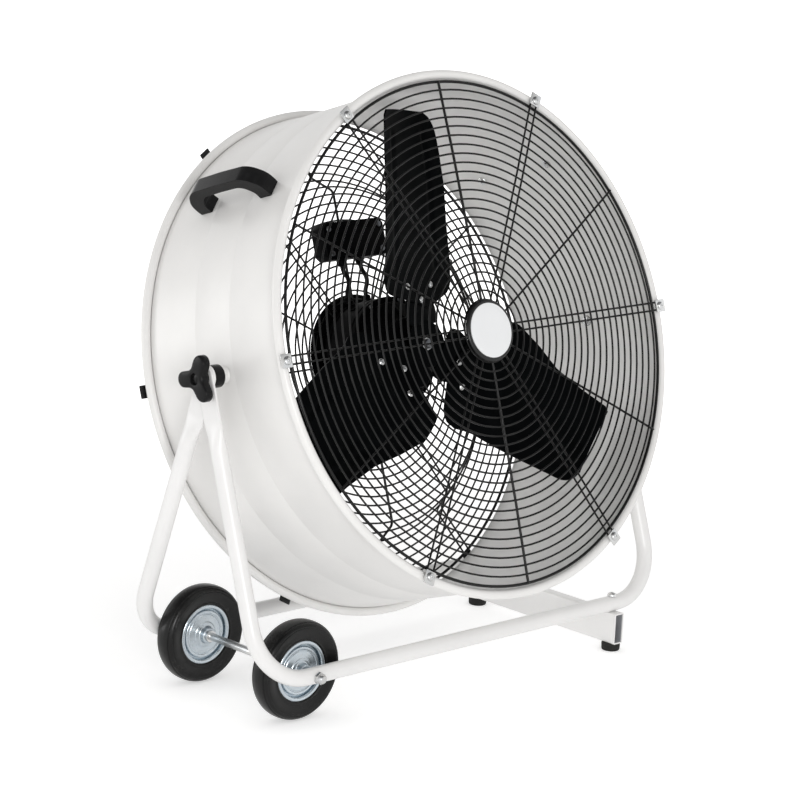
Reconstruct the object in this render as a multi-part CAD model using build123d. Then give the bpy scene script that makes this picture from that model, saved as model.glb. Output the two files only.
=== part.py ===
from build123d import *
from math import atan2, cos, degrees, hypot, pi, radians, sin, sqrt, tan
import os

# Mobile drum fan, in millimetres. +Z is up, the fan blows towards -Y, and the axis through
# the two clamp knobs runs along X. The drum is drawn square to the axes round its pivot
# (axis of the drum along Y) and is tilted last. The origin is on the floor, under the middle
# of the whole fan.

# ---- driving dimensions: stance and fits ----
PIVOT_HEIGHT = 500.0        # knob axis above the floor
REST_TILT = 18.85           # degrees that the front of the drum is tipped up
MOVE_GAP = 0.3              # air between pieces that turn past each other
SEAT_GAP = 0.05             # paint-thick gap between pieces that are clamped together
HOLE_GAP = 0.1              # a shank to the flats of its hole
WIRE_GAP = 0.15             # a ring to the spokes that it isn't welded to

# ---- flats that stand in for round surfaces ----
DRUM_SIDES = 48
HEAVY_RING_SIDES = 24
RING_SIDES = 12             # one corner at each spoke
WHEEL_SIDES = 20
TUBE_SIDES = 10
SHAFT_SIDES = 12
BOLT_SIDES = 6

# ---- drum ----
RIM_RADIUS = 389.7          # centre circle of the rolled beads
BEAD_FLAT = 7.0             # centre of a bead to its flats
DRUM_FRONT = 139.0          # pivot to the front bead's centre
DRUM_REAR = 163.6           # pivot to the rear bead's centre
SHEET = 2.0                 # drum sheet
COLLAR_OUTER = 384.0        # outer radius of the sheet next to the beads
WALL_STEP = 2.5             # how far the middle of the wall is drawn in
COLLAR_LENGTH = 27.0        # bead centre to the start of the step
STEP_LENGTH = 8.0           # length of the sloping step

# ---- wire guards ----
RING_PITCH = 13.8           # ring to ring
GUARD_OUTER = 378.0         # heavy outer ring
GUARD_INNER = 47.0          # innermost ring of the front guard
WIRE = 3.0                  # ring and spoke wire
OUTER_WIRE = 4.6            # outer ring's wire
FRONT_DOME = 8.0            # how far the middle of the front guard stands forward
DOME_RADII = (378.0, 260.0, 44.0)   # bends of a front spoke
SPOKE_PAIRS = 6             # pairs of spokes, one pair at each rim bolt
SPOKE_SPREAD = 12.0         # distance between the two wires of a pair
REAR_DISH = 48.0            # how far the middle of the rear guard is set into the drum
DISH_RADII = (378.0, 293.0, 262.0, 50.0)    # bends of a rear spoke
REAR_INNER = 92.0           # innermost ring of the rear guard
WELD = 0.6                  # how deep a ring is pressed into the spoke that carries it

# ---- rim bolts ----
SPOKE_END = 4.5             # how far the spokes reach past a rim screw
CLIP_SIDE = 20.0            # square clip plate under each rim screw
CLIP_OUT = 1.3              # how far a clip stands out past its screw's middle
CLIP_THICK = 1.6
RIM_HEAD_RADIUS = 6.5
RIM_HEAD_HEIGHT = 4.0
RIM_SHANK_RADIUS = 3.0

# ---- badge ----
BADGE_RADIUS = 41.0
HOLDER_RADIUS = 47.0
HOLDER_THICK = 5.0
BADGE_THICK = 1.6
BADGE_SIDES = 24

# ---- motor ----
MOTOR_RADIUS = 84.0
MOTOR_FRONT = 46.0          # pivot to the front of the motor body
MOTOR_NOSE_RADIUS = 46.0    # front end shield where it ends at the shaft
MOTOR_NOSE = 4.0            # pivot to the end of the nose
MOTOR_SIDES = 24
SHIELD_THICK = 7.0          # rear end shield
SHIELD_SCREWS = 8
SHIELD_SCREW_INSET = 4.5       # screw circle to the edge of the motor body
SHIELD_SCREW_CIRCLE = MOTOR_RADIUS - SHIELD_SCREW_INSET
SHIELD_SCREW_RADIUS = 3.5
SHIELD_SCREW_HEIGHT = 3.0
SHIELD_SCREW_ANGLE = 27.5   # first screw above the horizontal
MOUNT_RADIUS = 100.0        # plate that clamps the motor to the rear guard
MOUNT_THICK = 3.0
MOUNT_BOLTS = 4
MOUNT_BOLT_CIRCLE = 66.0
MOUNT_BOLT_RADIUS = 4.0
MOUNT_HEAD_RADIUS = 7.0
MOUNT_HEAD_HEIGHT = 5.0

# ---- rotor ----
BLADES = 3
BLADE_TIP = 354.0
BLADE_SHEET = 2.5
# each station is: height above the axis, left edge, right edge, place along the axis where
# the strip crosses the blade's middle line, pitch in degrees, and camber
BLADE_STATIONS = (
    (54.0, -22.0, 62.0, -38.0, 22.0, 0.0),
    (72.0, -42.0, 92.0, -38.0, 22.0, 0.0),
    (104.0, -68.0, 94.0, -38.0, 22.0, 0.0),
    (140.0, -85.0, 95.0, -43.0, 21.0, 4.0),
    (235.0, -66.0, 91.0, -51.0, 19.0, 7.0),
    (360.0, -39.0, 84.0, -59.0, 16.0, 7.0),
)
CAMBER_STEPS = 4            # straight pieces across a blade
HUB_RADIUS = 50.0
HUB_THICK = 3.0
HUB_SIDES = 18
ARM_START = 30.0
ARM_LENGTH = 106.0          # hub centre to the end of each blade arm
ARM_WIDTH = 84.0
SHAFT_RADIUS = 9.5
BOSS_RADIUS = 19.0
HUB_HEAD_RADIUS = 13.0
HUB_HEAD_HEIGHT = 8.0
HUB_SHANK_RADIUS = 4.0
HUB_SHANK_LENGTH = 18.0
RIVET_RADIUS = 5.5
RIVET_HEIGHT = 2.6
RIVET_PLACES = ((-25.0, 88.0), (33.0, 90.0), (-3.0, 66.0))

# ---- control box and leads ----
BOX_WIDTH = 124.0
BOX_HEIGHT = 58.0
BOX_DEPTH = 31.0
BOX_LID = 3.0
BOX_UP = 182.0              # box centre above the drum axis
BOX_CORNER = 8.0
LID_SCREW_RADIUS = 4.5
LID_SCREW_HEIGHT = 2.0
LID_SCREW_INSET = 10.0
SPEED_KNOB_RADIUS = 17.0
SPEED_KNOB_DEPTH = 14.0
SPEED_SHAFT_RADIUS = 4.0
SPEED_KNOB_GAP = 6          # its shaft passes between this ring and the next
SPEED_KNOB_ANGLE = 75.0     # half way between two spokes
LEAD_RADIUS = 3.5
LEAD_SIDES = 6
LEAD_BOW = 9.0              # how far the leads stand off
LEAD_PLACES = (-24.0, 14.0)
GLAND_RADIUS = 7.5
GLAND_LENGTH = 10.0

# ---- handles ----
HANDLE_FLAT = 5.5           # flats of the drum from the pivot to the middle of a handle
HANDLE_MIDDLE = 10.0        # behind the pivot
HANDLE_BOLTS = 146.0        # bolt to bolt
HANDLE_LENGTH = 164.0
HANDLE_WIDTH = 26.0
HANDLE_RISE = 48.0          # seat to the top of the grip
HANDLE_GRIP = 16.0          # thickness of the grip
HANDLE_FOOT = 26.0          # length of each foot
HANDLE_HEEL = 24.0          # height of the outer end of a foot
HANDLE_SLOPE = 24.0         # length of the sloping shoulder
HANDLE_CHAMFER = 4.0
HANDLE_BOLT_RADIUS = 4.0
HANDLE_BOLT_DEPTH = 8.0     # how far a bolt reaches into the foot
HANDLE_HEAD_RADIUS = 8.0
HANDLE_HEAD_HEIGHT = 4.5

# ---- pivot and clamp knobs ----
STUD_RADIUS = 6.0
STUD_HEAD_RADIUS = 11.0
STUD_HEAD_HEIGHT = 6.0
SPACER_RADIUS = 17.0
SPACER_SIDES = 16
EYE_THICK = 4.0             # flattened tube end
EYE_WIDTH = 36.0
EYE_SIDES = 16
KNOB_MEAN_RADIUS = 27.2     # outline of the knob between its lobes and its waists
KNOB_LOBES = 3
KNOB_LOBE_RISE = 10.2
KNOB_LOBE_ANGLE = 72.0      # first lobe, seen from the left, from the front upwards
KNOB_POINTS = 18
KNOB_THICK = 13.5
KNOB_CHAMFER = 3.0
KNOB_BOSS_RADIUS = 16.5
KNOB_BOSS_LENGTH = 5.5
KNOB_RECESS_RADIUS = 8.0
KNOB_RECESS_DEPTH = 5.0
KNOB_BORE_DEPTH = 12.0

# ---- frame ----
TUBE_RADIUS = 12.5
LEG_X = 416.0               # middle of each leg
RUN_Y = 145.7               # middle of the bottom runs
RUN_Z = 75.0
BEND_RADIUS = 85.0
BEND_STEPS = 5              # flats round each bend
EYE_LENGTH = 62.0           # pivot to the end of the flat part
FLATTEN_LENGTH = 48.0       # length over which the tube turns round again
BASE_X = 318.0              # axle on the left, crossbar on the right
BAR_WIDTH = 20.0
BAR_WALL = 2.0
BAR_OVERHANG = 19.3         # crossbar end beyond the middle of each bottom run
FOOT_RADIUS = 15.0
FOOT_HEIGHT = 12.5
FOOT_INSET = 15.0           # middle of a foot to the crossbar's end
FOOT_SIDES = 16
BAR_BOLT_RADIUS = 4.0
BAR_HEAD_RADIUS = 7.5
BAR_HEAD_HEIGHT = 5.5

# ---- wheels ----
TYRE_WIDTH = 34.0
TYRE_SHOULDER = 7.0
RIM_OUTER = 46.0
WHEEL_Y = 108.0             # middle of each wheel
WELL_RADIUS = 33.0          # stepped disc: radius of the ring groove
WELL_DEPTH = 5.0
CROWN_RADIUS = 21.0
HUB_TUBE_RADIUS = 12.0
HUB_TUBE_LENGTH = 44.0
AXLE_RADIUS = 6.0
NUT_RADIUS = 9.5
NUT_LENGTH = 12.0
COLLAR_RADIUS = 9.0
COLLAR_WIDTH = 4.0

# ---- worked out from the above ----
FRONT_FACE = -(DRUM_FRONT + BEAD_FLAT)
REAR_FACE = DRUM_REAR + BEAD_FLAT
WALL_OUTER = COLLAR_OUTER - WALL_STEP
WALL_INNER = WALL_OUTER - SHEET
HANDLE_ANGLE = 360 / DRUM_SIDES * HANDLE_FLAT       # above the horizontal
ORIGIN_SHIFT = (REAR_FACE + FRONT_FACE) / 2 * cos(radians(REST_TILT))
FRONT_LAND = FRONT_FACE - SEAT_GAP - WIRE / 2       # front spokes on the bead
REAR_LAND = REAR_FACE + SEAT_GAP + WIRE / 2         # rear spokes on the bead
DISH_FLOOR = REAR_LAND - REAR_DISH
WIRE_TIP = WIRE / sqrt(3)                           # middle of a ring's wire to its corner
RING_STAND = WIRE / 2 + WIRE_TIP / 2 + WIRE_GAP     # middle of a spoke to the middle of a ring
MOTOR_REAR = DISH_FLOOR - WIRE / 2 - SEAT_GAP
MOTOR_BACK = MOTOR_REAR - SHIELD_THICK
MOUNT_SEAT = DISH_FLOOR + RING_STAND + WIRE_TIP + SEAT_GAP
ROOT_PLACE, ROOT_PITCH = BLADE_STATIONS[0][3:5]
HUB_FRONT = ROOT_PLACE + BLADE_SHEET / cos(radians(ROOT_PITCH)) + SEAT_GAP
HUB_BACK = HUB_FRONT + HUB_THICK
LEG_LENGTH = hypot(RUN_Y, PIVOT_HEIGHT - RUN_Z)
LEG_LEAN = atan2(RUN_Y, PIVOT_HEIGHT - RUN_Z)
BAR_TOP = RUN_Z - TUBE_RADIUS - SEAT_GAP
BAR_BOTTOM = FOOT_HEIGHT + SEAT_GAP
BAR_HALF = RUN_Y + BAR_OVERHANG
EYES_START = LEG_X - EYE_THICK - SEAT_GAP / 2
EYES_END = LEG_X + EYE_THICK + SEAT_GAP / 2
SPACER_START = WALL_OUTER / cos(pi / DRUM_SIDES) + SEAT_GAP
SPACER_END = EYES_START - MOVE_GAP
KNOB_START = EYES_END + MOVE_GAP
BOX_BACK = DISH_FLOOR - WIRE / 2 - SEAT_GAP
BOX_FRONT = BOX_BACK - BOX_DEPTH
BOX_BOTTOM = BOX_UP - BOX_HEIGHT / 2
LEAD_Y = (BOX_BACK + BOX_FRONT) / 2

TILT = Location((0, 0, PIVOT_HEIGHT), (-REST_TILT, 0, 0))
PARTS = {}


def keep(node, *solids):
    """Keep the solids of one node, in the fan's own frame."""
    PARTS[node] = [Pos(0, -ORIGIN_SHIFT, 0) * solid for solid in solids]


def keep_in_drum(node, *solids):
    """Keep the solids of one node that is drawn square to the drum."""
    keep(node, *[TILT * solid for solid in solids])


def about_axis(angle):
    """Turn about the drum's axis, counted upwards from +X as seen from the front."""
    return Rot(0, -angle, 0)


def mirrored(shape):
    """The same shape on the other side of the drum."""
    return mirror(shape, Plane.YZ)


def bar(radius, low, high, sides, bore=False):
    """A many-sided bar along Z: its corners lie on the radius, or a bore's flats do."""
    outline = RegularPolygon(radius, sides, major_radius=not bore)
    return Pos(0, 0, low) * extrude(outline, high - low)


def bar_x(radius, start, end, sides, bore=False):
    return Rot(0, 90, 0) * bar(radius, start, end, sides, bore)


def bar_y(radius, start, end, sides, bore=False):
    return Rot(-90, 0, 0) * bar(radius, min(start, end), max(start, end), sides, bore)


def many_sided_ring(section, sides, path_radius):
    """Sweep a section, drawn as (radius to the flats, y), round a polygon about Y."""
    half = pi / sides
    corners = [(path_radius * cos(2 * half * i), 0, path_radius * sin(2 * half * i))
               for i in range(sides)]
    path = Wire.make_polygon([Vector(*corner) for corner in corners], close=True)
    along = Vector(-sin(half), 0, cos(half))
    start = Plane(origin=along * (-path_radius * sin(half)), x_dir=(cos(half), 0, sin(half)),
                  z_dir=along)
    return sweep(start * section, path=path, transition=Transition.RIGHT)


def skinned(outlines):
    """A flat-faceted solid through a stack of flat outlines with equally many points."""
    faces = [Face(Wire.make_polygon(outline, close=True)) for outline in (outlines[0], outlines[-1])]
    for low, high in zip(outlines, outlines[1:]):
        for index in range(len(low)):
            after = (index + 1) % len(low)
            for corners in ((low[index], low[after], high[after]), (low[index], high[after], high[index])):
                faces.append(Face(Wire.make_polygon(corners, close=True)))
    return Solid(Shell(faces))


def turned(outline, sides):
    """A many-sided turned piece round Y from an outline of (radius, y) points."""
    radii = [radius for radius, y in outline]
    section = make_face(Polyline(*outline, close=True))
    return many_sided_ring(section, sides, (min(radii) + max(radii)) / 2)


# ---------------------------------------------------------------- drum and guards
def handle_bolt_axes():
    """Places of the four handle bolts: a bolt is drawn pointing out along +X."""
    places = []
    for end in (-1, 1):
        right = about_axis(HANDLE_ANGLE) * Pos(0, HANDLE_MIDDLE + end * HANDLE_BOLTS / 2, 0)
        left = about_axis(180 - HANDLE_ANGLE) * Pos(0, HANDLE_MIDDLE + end * HANDLE_BOLTS / 2, 0)
        places += [right, left]
    return places


def drum_shell():
    """Rolled sheet with a raised collar and a six-sided rolled bead at each end."""
    front, rear = -DRUM_FRONT, DRUM_REAR
    steps = [(COLLAR_OUTER, front),
             (COLLAR_OUTER, front + COLLAR_LENGTH),
             (WALL_OUTER, front + COLLAR_LENGTH + STEP_LENGTH),
             (WALL_OUTER, rear - COLLAR_LENGTH - STEP_LENGTH),
             (COLLAR_OUTER, rear - COLLAR_LENGTH),
             (COLLAR_OUTER, rear)]
    inside = [(radius - SHEET, y) for radius, y in reversed(steps)]
    bead = RegularPolygon(BEAD_FLAT, 6, major_radius=False)
    section = make_face(Polyline(*steps, *inside, close=True))
    section += Pos(RIM_RADIUS, front) * bead + Pos(RIM_RADIUS, rear) * bead
    shell = many_sided_ring(section, DRUM_SIDES, RIM_RADIUS)
    holes = [bar_x(STUD_RADIUS + HOLE_GAP, -RIM_RADIUS, RIM_RADIUS, SHAFT_SIDES, bore=True)]
    through = bar_x(HANDLE_BOLT_RADIUS + HOLE_GAP, WALL_INNER - SHEET, COLLAR_OUTER, BOLT_SIDES, bore=True)
    holes += [place * through for place in handle_bolt_axes()]
    return shell - holes


def place_on(line, radius):
    """Place along the axis of a spoke, whose bends are (radius, y) points, at a radius."""
    for (outer, y_outer), (inner, y_inner) in zip(line, line[1:]):
        if radius >= inner:
            return y_inner + (y_outer - y_inner) * (radius - inner) / (outer - inner)
    return line[-1][1]


def ring(radius, line, stand, corner, wire=WIRE, sides=RING_SIDES):
    """A ring of three-sided wire that stands off a spoke line, with one corner up or down."""
    section = Pos(radius * cos(pi / sides), place_on(line, radius) + stand) * Rot(0, 0, 90 * corner)
    return many_sided_ring(section * RegularPolygon(wire / sqrt(3), 3), sides, radius)


def spoke(line, angle, aside=0.0, lift=0.0):
    """A square wire that follows (radius, y) points, beside the radius, thickened by a lift."""
    upper = [(radius, y + WIRE / 2 + max(lift, 0)) for radius, y in line]
    lower = [(radius, y - WIRE / 2 + min(lift, 0)) for radius, y in reversed(line)]
    wire = extrude(make_face(Polyline(*upper, *lower, close=True)), amount=WIRE / 2, both=True)
    return about_axis(angle) * Pos(0, 0, aside) * wire


def wire_guard(line, inner, outward):
    """Thin rings on the outer side of paired and single spokes, and a heavy ring inside them.

    The line is a spoke's bends from the bead to the middle. All rings are welded to the
    single spoke that stands straight down, and lie close on the others.
    """
    step = 360 / SPOKE_PAIRS
    wires = []
    for index in range(SPOKE_PAIRS):
        wires += [spoke(line, step * index, side * SPOKE_SPREAD / 2) for side in (-1, 1)]
        angle = step * (index + 0.5)
        lift = outward * (WELD + WIRE_GAP) if angle == 270 else 0
        wires.append(spoke(line[1:], angle, lift=lift))
    radius = inner
    while radius < GUARD_OUTER - RING_PITCH / 2:
        wires.append(ring(radius, line, outward * RING_STAND, outward))
        radius += RING_PITCH
    heavy = WIRE / 2 + OUTER_WIRE / sqrt(12) - WELD
    wires.append(ring(GUARD_OUTER, line, -outward * heavy, -outward, OUTER_WIRE, HEAVY_RING_SIDES))
    return wires[0].fuse(*wires[1:])


def front_line():
    """Bends of a front spoke: flat on the bead, then a shallow dome."""
    rise = [FRONT_DOME * (1 - (radius / GUARD_OUTER) ** 2) for radius in DOME_RADII]
    return [(RIM_RADIUS + SPOKE_END, FRONT_LAND)] + \
        [(radius, FRONT_LAND - up) for radius, up in zip(DOME_RADII, rise)]


def rear_line():
    """Bends of a rear spoke: flat on the bead, then down into the dish for the motor."""
    outer, brow, floor, inner = DISH_RADII
    return [(RIM_RADIUS + SPOKE_END, REAR_LAND), (outer, REAR_LAND), (brow, REAR_LAND),
            (floor, DISH_FLOOR), (inner, DISH_FLOOR)]


def rim_fasteners(face, outward):
    """Six square clips on the spoke pairs, and six screws through them down to the bead."""
    clips, screws = [], []
    seat = face + outward * (WIRE + 2 * SEAT_GAP)
    top = seat + outward * CLIP_THICK
    head = top + outward * SEAT_GAP
    for index in range(SPOKE_PAIRS):
        place = about_axis(360 / SPOKE_PAIRS * index) * Pos(RIM_RADIUS, 0, 0)
        clip = Pos(CLIP_OUT, (seat + top) / 2, 0) * Box(CLIP_SIDE, CLIP_THICK, CLIP_SIDE)
        clip -= bar_y(RIM_SHANK_RADIUS + HOLE_GAP, seat, top, 6, bore=True)
        screw = bar_y(RIM_HEAD_RADIUS, head, head + outward * RIM_HEAD_HEIGHT, BOLT_SIDES)
        screw += bar_y(RIM_SHANK_RADIUS, face + outward * SEAT_GAP, head, 6)
        clips.append(place * clip)
        screws.append(place * screw)
    return clips, screws


def badge():
    """Black plate on the innermost ring, with a plain disc on it."""
    back = place_on(front_line(), GUARD_INNER) - RING_STAND - WIRE_TIP - SEAT_GAP
    front = back - HOLDER_THICK
    holder = bar_y(HOLDER_RADIUS, back, front, BADGE_SIDES)
    return holder, bar_y(BADGE_RADIUS, front - SEAT_GAP, front - BADGE_THICK, BADGE_SIDES)


# ---------------------------------------------------------------- motor and rotor
def motor():
    """Body, end shields, clamp plate behind the guard, and their screws."""
    body = bar_y(MOTOR_RADIUS, MOTOR_FRONT, MOTOR_BACK - SEAT_GAP, MOTOR_SIDES)
    brim = SHIELD_SCREW_CIRCLE - SHIELD_SCREW_RADIUS - 1
    bore = SHAFT_RADIUS + MOVE_GAP
    nose = turned([(bore, MOTOR_NOSE), (MOTOR_NOSE_RADIUS, MOTOR_NOSE),
                   (MOTOR_NOSE_RADIUS, MOTOR_NOSE + 14), (brim, MOTOR_FRONT - 8),
                   (brim, MOTOR_FRONT - SEAT_GAP), (bore, MOTOR_FRONT - SEAT_GAP)], MOTOR_SIDES)
    shield = bar_y(MOTOR_RADIUS - 2, MOTOR_BACK, MOTOR_REAR, MOTOR_SIDES)
    plate = bar_y(MOUNT_RADIUS, MOUNT_SEAT, MOUNT_SEAT + MOUNT_THICK, MOTOR_SIDES)
    seat, top = MOTOR_FRONT - SEAT_GAP, MOUNT_SEAT + MOUNT_THICK + SEAT_GAP
    screws, bolts = [], []
    for index in range(SHIELD_SCREWS):
        angle = SHIELD_SCREW_ANGLE + 360 / SHIELD_SCREWS * index
        head = bar_y(SHIELD_SCREW_RADIUS, seat - SHIELD_SCREW_HEIGHT, seat, 6)
        screws.append(about_axis(angle) * Pos(SHIELD_SCREW_CIRCLE, 0, 0) * head)
    for index in range(MOUNT_BOLTS):
        place = about_axis(45 + 360 / MOUNT_BOLTS * index) * Pos(MOUNT_BOLT_CIRCLE, 0, 0)
        bolt = bar_y(MOUNT_BOLT_RADIUS, MOTOR_REAR + SEAT_GAP, top, 6)
        bolt += bar_y(MOUNT_HEAD_RADIUS, top, top + MOUNT_HEAD_HEIGHT, 6)
        plate -= place * bar_y(MOUNT_BOLT_RADIUS + HOLE_GAP, MOUNT_SEAT, top, 6, bore=True)
        bolts.append(place * bolt)
    return body, nose, shield, plate, screws, bolts


def blade_strip(station):
    """The outline of one strip across the blade, square to the blade's length."""
    height, left, right, place, pitch, camber = station
    slope = tan(radians(pitch))
    shares = [2 * i / CAMBER_STEPS - 1 for i in range(CAMBER_STEPS + 1)]
    front = []
    for share in shares:
        x = (left + right) / 2 + (right - left) / 2 * share
        front.append((x, place + slope * x + camber * (1 - share ** 2), height))
    depth = BLADE_SHEET / cos(radians(pitch))
    return front + [(x, y + depth, height) for x, y, height in reversed(front)]


def blade():
    """A pressed paddle that points up: flat where it is riveted, then twisted and cambered."""
    paddle = skinned([blade_strip(station) for station in BLADE_STATIONS])
    return paddle & bar_y(BLADE_TIP, -200, 100, DRUM_SIDES)


def at_root(x, height):
    """The place of a rivet, with +Z square out of the front of the blade's flat root."""
    y = ROOT_PLACE + x * tan(radians(ROOT_PITCH))
    return Location((x, y, height), (90, 0, 0)) * Rot(0, ROOT_PITCH, 0)


def rotor():
    """Shaft, hub with three riveted arms, hub bolt, blades and rivets."""
    shaft = bar_y(SHAFT_RADIUS, HUB_FRONT, MOTOR_FRONT - MOVE_GAP, SHAFT_SIDES)
    shaft -= bar_y(HUB_SHANK_RADIUS + HOLE_GAP, HUB_FRONT, HUB_FRONT + HUB_SHANK_LENGTH + 1, 6, bore=True)
    hub = bar_y(HUB_RADIUS, HUB_FRONT, HUB_BACK, HUB_SIDES)
    hub += bar_y(BOSS_RADIUS, HUB_FRONT, MOTOR_NOSE - MOVE_GAP, SHAFT_SIDES)
    blades, rivets = [], []
    paddle = blade()
    for index in range(BLADES):
        turn = Rot(0, 360 / BLADES * index, 0)
        length = ARM_LENGTH - ARM_START
        arm = Pos(0, 0, -BLADE_SHEET - SEAT_GAP - HUB_THICK / 2) * Box(ARM_WIDTH, length, HUB_THICK)
        hub += turn * at_root(0, ARM_START + length / 2) * arm
        blades.append(turn * paddle)
        for x, height in RIVET_PLACES:
            head = bar(RIVET_RADIUS, SEAT_GAP, RIVET_HEIGHT, BOLT_SIDES)
            rivets.append(turn * at_root(x, height) * head)
    hub -= bar_y(SHAFT_RADIUS + SEAT_GAP, -100, 100, SHAFT_SIDES, bore=True)
    seat = HUB_FRONT - SEAT_GAP
    bolt = bar_y(HUB_HEAD_RADIUS, seat - HUB_HEAD_HEIGHT, seat, 6)
    bolt += bar_y(HUB_SHANK_RADIUS, seat, seat + HUB_SHANK_LENGTH, 6)
    return shaft, hub, bolt, blades, rivets


# ---------------------------------------------------------------- control box and leads
def control_box():
    """Box on the rear guard with its lid, screws, glands, leads and speed selector."""
    outline = chamfer(Rectangle(BOX_WIDTH, BOX_HEIGHT).vertices(), BOX_CORNER)
    facing = Pos(0, BOX_BACK, BOX_UP) * Rot(90, 0, 0)
    box = facing * extrude(outline, BOX_DEPTH - BOX_LID)
    lid = facing * Pos(0, 0, BOX_DEPTH - BOX_LID + SEAT_GAP) * extrude(outline, BOX_LID - SEAT_GAP)
    screws = []
    for x in (-1, 1):
        for z in (-1, 1):
            place = Pos(x * (BOX_WIDTH / 2 - LID_SCREW_INSET), z * (BOX_HEIGHT / 2 - LID_SCREW_INSET),
                        BOX_DEPTH + SEAT_GAP)
            screws.append(facing * place * bar(LID_SCREW_RADIUS, 0, LID_SCREW_HEIGHT, BOLT_SIDES))
    upper, lower, leads = [], [], []
    high, low = BOX_BOTTOM - GLAND_LENGTH, MOTOR_RADIUS + GLAND_LENGTH
    for x in LEAD_PLACES:
        upper.append(Pos(x, LEAD_Y, 0) * bar(GLAND_RADIUS, high, BOX_BOTTOM - SEAT_GAP, BOLT_SIDES))
        crest = sqrt(MOTOR_RADIUS ** 2 - max(abs(x) - GLAND_RADIUS, 0) ** 2)
        lower.append(Pos(x, LEAD_Y, 0) * bar(GLAND_RADIUS, crest + SEAT_GAP, low, BOLT_SIDES))
        bends = [(x, LEAD_Y - LEAD_BOW * bow, high + (low - high) * share)
                 for share, bow in ((0, 0), (0.15, 0), (0.35, 0.8), (0.5, 1), (0.65, 0.8), (0.85, 0), (1, 0))]
        bends[0] = (x, LEAD_Y, high - SEAT_GAP)
        bends[-1] = (x, LEAD_Y, low + SEAT_GAP)
        section = Pos(*bends[0]) * Rot(180, 0, 0) * RegularPolygon(LEAD_RADIUS, LEAD_SIDES)
        leads.append(sweep(section, path=Polyline(*bends), transition=Transition.RIGHT))
    reach = (REAR_INNER + RING_PITCH * (SPEED_KNOB_GAP + 0.5)) * cos(pi / RING_SIDES)
    place = about_axis(SPEED_KNOB_ANGLE) * Pos(reach, 0, 0)
    seat = MOUNT_SEAT + MOVE_GAP
    knob = bar_y(SPEED_KNOB_RADIUS, seat, seat + SPEED_KNOB_DEPTH, SHAFT_SIDES)
    knob += bar_y(SPEED_SHAFT_RADIUS, BOX_BACK + MOVE_GAP, seat, 6)
    grip = Pos(0, seat + SPEED_KNOB_DEPTH, 0) * Box(8, 12, 2 * SPEED_KNOB_RADIUS - 4)
    return box, lid, screws, upper, lower, leads, place * (knob + grip)


# ---------------------------------------------------------------- handles and pivot
def handle():
    """A grip on two feet, drawn pointing out along +X, with blind holes for its bolts."""
    half, seat = HANDLE_LENGTH / 2, WALL_OUTER + SEAT_GAP
    top, under = seat + HANDLE_RISE, seat + HANDLE_RISE - HANDLE_GRIP
    foot = half - HANDLE_FOOT
    right = [(seat, foot), (seat, half), (seat + HANDLE_HEEL, half), (top, half - HANDLE_SLOPE)]
    left = [(x, -y) for x, y in reversed(right)]
    under_left = [(under, -foot + 8), (under, foot - 8)]
    profile = make_face(Polyline(*right, *left, *under_left, close=True))
    body = extrude(profile, amount=HANDLE_WIDTH / 2, both=True)
    tops = body.faces().filter_by(lambda face: face.normal_at().X > 0.2 and face.center().X > under)
    rims = [edge for face in tops for edge in face.edges() if abs(edge.tangent_at(0.5).Z) < 0.1]
    body = chamfer(rims, HANDLE_CHAMFER)
    for end in (-1, 1):
        body -= Pos(0, end * HANDLE_BOLTS / 2, 0) * bar_x(
            HANDLE_BOLT_RADIUS + HOLE_GAP, seat, seat + HANDLE_BOLT_DEPTH + 1, BOLT_SIDES, bore=True)
    return Pos(0, HANDLE_MIDDLE, 0) * body


def handle_bolt():
    """Head inside the drum, shank through the wall into the foot."""
    seat = WALL_INNER - SEAT_GAP
    head = bar_x(HANDLE_HEAD_RADIUS, seat - HANDLE_HEAD_HEIGHT, seat, 6)
    return head + bar_x(HANDLE_BOLT_RADIUS, seat, WALL_OUTER + HANDLE_BOLT_DEPTH, BOLT_SIDES)


def pivot_stud():
    """Head inside the drum, shank out through spacer and tube eyes into the knob."""
    seat = WALL_INNER - SEAT_GAP
    stud = bar_x(STUD_HEAD_RADIUS, seat - STUD_HEAD_HEIGHT, seat, 6)
    return stud + bar_x(STUD_RADIUS, seat, KNOB_START + KNOB_BORE_DEPTH - 1, SHAFT_SIDES)


def pivot_spacer():
    """Bush between the drum and the frame."""
    body = bar_x(SPACER_RADIUS, SPACER_START, SPACER_END, SPACER_SIDES)
    return body - bar_x(STUD_RADIUS + HOLE_GAP, SPACER_START, SPACER_END, SHAFT_SIDES, bore=True)


def clamp_knob():
    """Three-lobed knob with a boss that presses on the tube eyes and a hex socket."""
    outline = []
    for index in range(KNOB_POINTS):
        angle = 2 * pi * index / KNOB_POINTS
        radius = KNOB_MEAN_RADIUS + KNOB_LOBE_RISE * cos(KNOB_LOBES * angle)
        outline.append((radius * cos(angle), radius * sin(angle)))
    body = extrude(make_face(Polyline(*outline, close=True)), KNOB_THICK)
    body = Pos(0, 0, KNOB_BOSS_LENGTH) * chamfer(body.faces().sort_by(Axis.Z)[-1].edges(), KNOB_CHAMFER)
    body += bar(KNOB_BOSS_RADIUS, 0, KNOB_BOSS_LENGTH, SHAFT_SIDES)
    end = KNOB_BOSS_LENGTH + KNOB_THICK
    body -= bar(KNOB_RECESS_RADIUS, end - KNOB_RECESS_DEPTH, end, 6)
    body -= bar(STUD_RADIUS + HOLE_GAP, 0, KNOB_BORE_DEPTH, SHAFT_SIDES, bore=True)
    return Pos(KNOB_START, 0, PIVOT_HEIGHT) * Rot(0, 90, 0) * Rot(0, 0, 270 - KNOB_LOBE_ANGLE) * body


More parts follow.
